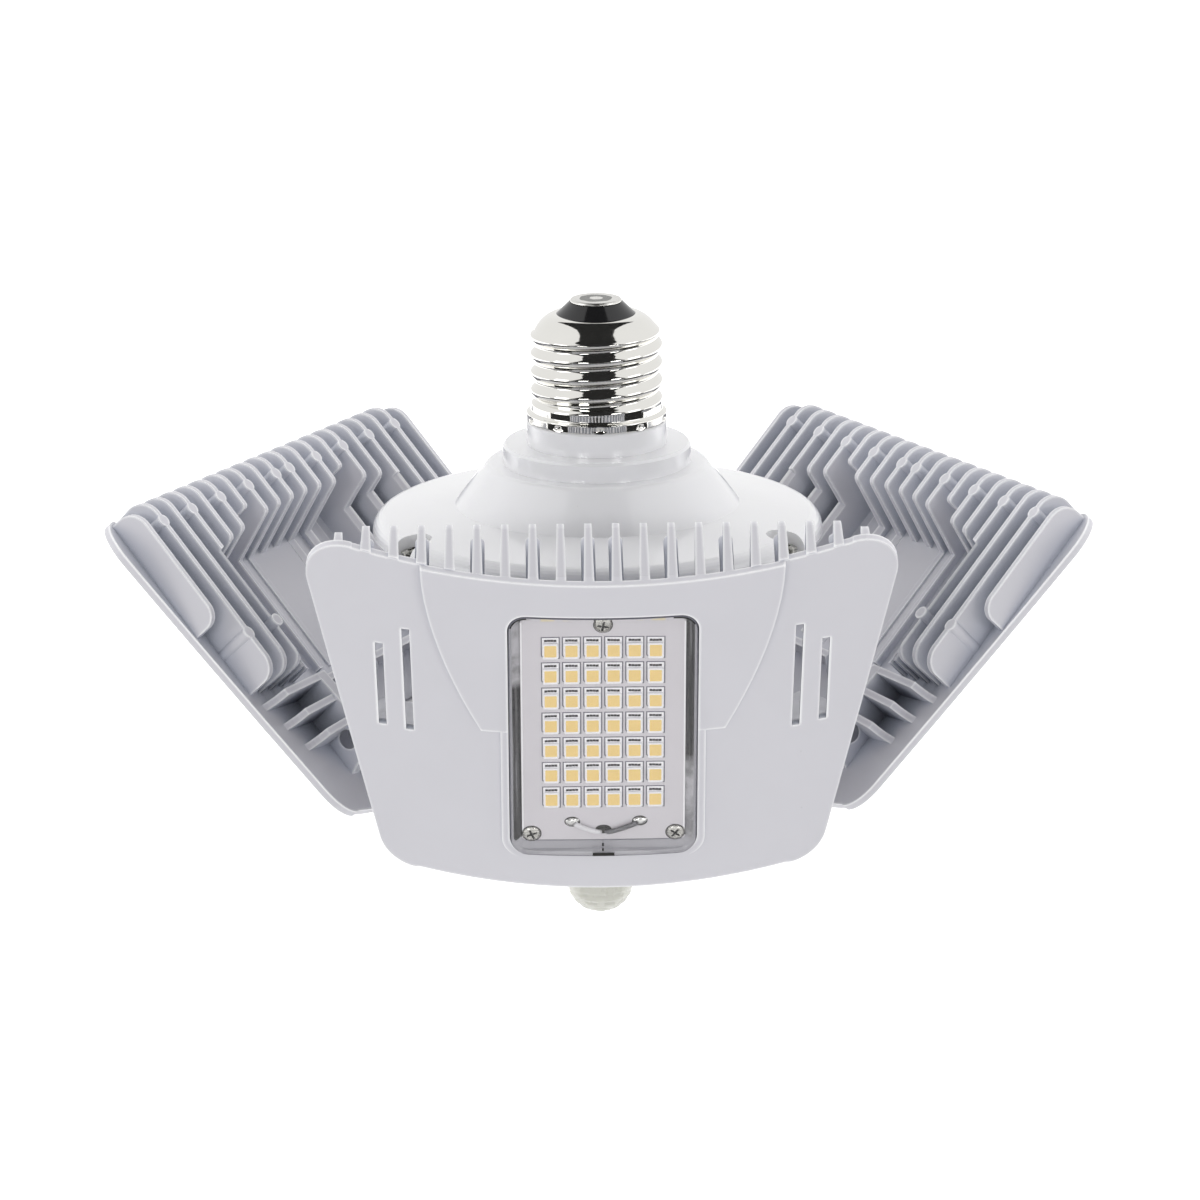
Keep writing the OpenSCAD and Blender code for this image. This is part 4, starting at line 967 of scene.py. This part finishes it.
studio = {"worldFill": 0.52,
          "lamps": [("topSoft", (0.0, 0.9, 1.35), (1.6, 0.8), 8.2, False),
                    ("leftBack", (-1.5, 0.75, 0.55), (0.7, 1.1), 9.0, False),
                    ("rightBack", (1.5, 0.75, 0.55), (0.7, 1.1), 9.0, False),
                    ("leftSoft", (-1.6, -0.7, 0.3), (0.8, 1.1), 4.5, True),
                    ("rightSoft", (1.7, -0.7, 0.3), (0.8, 1.1), 3.5, True),
                    ("frontLeft", (-0.85, -1.9, 0.42), (0.6, 0.25), 4.8, True),
                    ("frontRight", (1.1, -1.75, 0.42), (0.6, 0.25), 4.8, True),
                    ("frontLow", (0.0, -1.6, -0.2), (1.2, 0.2), 0.8, False)],
          "floor": {"drop": 0.28, "size": 6, "tone": 0.9, "white": (0.3, 1.0), "fade": (0.45, 1.3)},
          "flags": [("archFlag", 2.6, 50, -8, 138, True), ("lowFlag", 0.36, 88, -72, -9, False)],
          "flagTone": 0.02, "flagCells": (24, 16), "archNarrowest": 0.45}


def seenRay(tree):
    # 1 for rays from the camera, off gloss or through glass
    path = node(tree, "LightPath").outputs
    first = calc(tree, "MAXIMUM", path["Is Camera Ray"], path["Is Glossy Ray"])
    return calc(tree, "MAXIMUM", first, path["Is Transmission Ray"])


def makeWorld():
    # white wherever it is seen, and a weaker fill light on the lamp
    world = bpy.data.worlds.new("studioWorld")
    bpy.context.scene.world = world
    world.use_nodes = True
    tree = world.node_tree
    strength = remap(tree, seenRay(tree), 0.0, 1.0, studio["worldFill"], 1.0)
    feed(tree, tree.nodes["Background"], {"Color": (1, 1, 1, 1), "Strength": strength})


def meshOf(work, name, material):
    mesh = bpy.data.meshes.new(name)
    work.to_mesh(mesh)
    work.free()
    mesh.materials.append(material)
    return mesh


def makeFloor():
    # pale floor that keeps the shadow, white to the camera, and clear from below
    plan = studio["floor"]
    material, tree, shader = newMaterial("paleFloor")
    tree.nodes.remove(shader)
    # the floor's own white grows with distance, so that it runs into the background
    face = node(tree, "NewGeometry").outputs
    distance = node(tree, "VectorMath", {0: face["Position"]}, operation="LENGTH").outputs["Value"]
    far = remap(tree, distance, *plan["fade"], *plan["white"], curve="SMOOTHSTEP")
    white = {"Color": (1, 1, 1, 1), "Strength": calc(tree, "MULTIPLY", seenRay(tree), far)}
    diffuse = node(tree, "BsdfDiffuse", {"Color": (plan["tone"], plan["tone"], plan["tone"], 1)})
    added = node(tree, "AddShader", {0: diffuse.outputs[0], 1: node(tree, "Emission", white).outputs[0]})
    clear = node(tree, "BsdfTransparent")
    sides = {0: face["Backfacing"], 1: added.outputs[0], 2: clear.outputs[0]}
    feed(tree, tree.nodes["Material Output"], {"Surface": node(tree, "MixShader", sides).outputs[0]})
    work = bmesh.new()
    bmesh.ops.create_grid(work, x_segments=1, y_segments=1, size=plan["size"])
    floor = addObject("floor", meshOf(work, "floor", material))
    floor.location.z = solidBox[0].z - plan["drop"]


def makeFlags():
    # dark studio cards round the lamp, seen only as reflections in gloss and metal
    cloth, tree, shader = newMaterial("flagCloth")
    feed(tree, shader, {"Base Color": (studio["flagTone"],) * 3 + (1,), "Roughness": 1})
    steps, rises = studio["flagCells"]
    for name, radius, spread, low, high, arched in studio["flags"]:
        work = bmesh.new()
        grid = []
        for j in range(rises + 1):
            rise = math.radians(low + (high - low) * j / rises)
            row = []
            for i in range(steps + 1):
                turn = math.radians(-spread + 2 * spread * i / steps)
                if arched:
                    across = math.sin(turn) * max(math.cos(rise), studio["archNarrowest"])
                    rest = math.sqrt(1 - across * across)
                    spot = (across, -rest * math.cos(rise), rest * math.sin(rise))
                else:
                    spot = (math.sin(turn) * math.cos(rise), -math.cos(turn) * math.cos(rise), math.sin(rise))
                row.append(work.verts.new(Vector(spot) * radius))
            grid.append(row)
        for below, above in zip(grid, grid[1:]):
            for i in range(steps):
                work.faces.new((below[i], below[i + 1], above[i + 1], above[i]))
        flag = addObject(name, meshOf(work, name, cloth))
        flag.visible_camera = False
        flag.visible_diffuse = False
        flag.visible_shadow = False
        flag.visible_transmission = False


def makeLamps():
    for name, place, size, power, reflected in studio["lamps"]:
        data = bpy.data.lights.new(name, "AREA")
        data.shape, data.size, data.size_y = "RECTANGLE", size[0], size[1]
        data.energy = power
        lamp = addObject(name, data)
        lamp.location = place
        lamp.rotation_mode = "QUATERNION"
        lamp.rotation_quaternion = (-Vector(place)).to_track_quat("-Z", "Y")
        lamp.visible_camera = False
        lamp.visible_glossy = reflected


makeWorld()
makeFloor()
makeFlags()
makeLamps()
bpy.context.scene.view_settings.view_transform = "Standard"
print("studio lit")
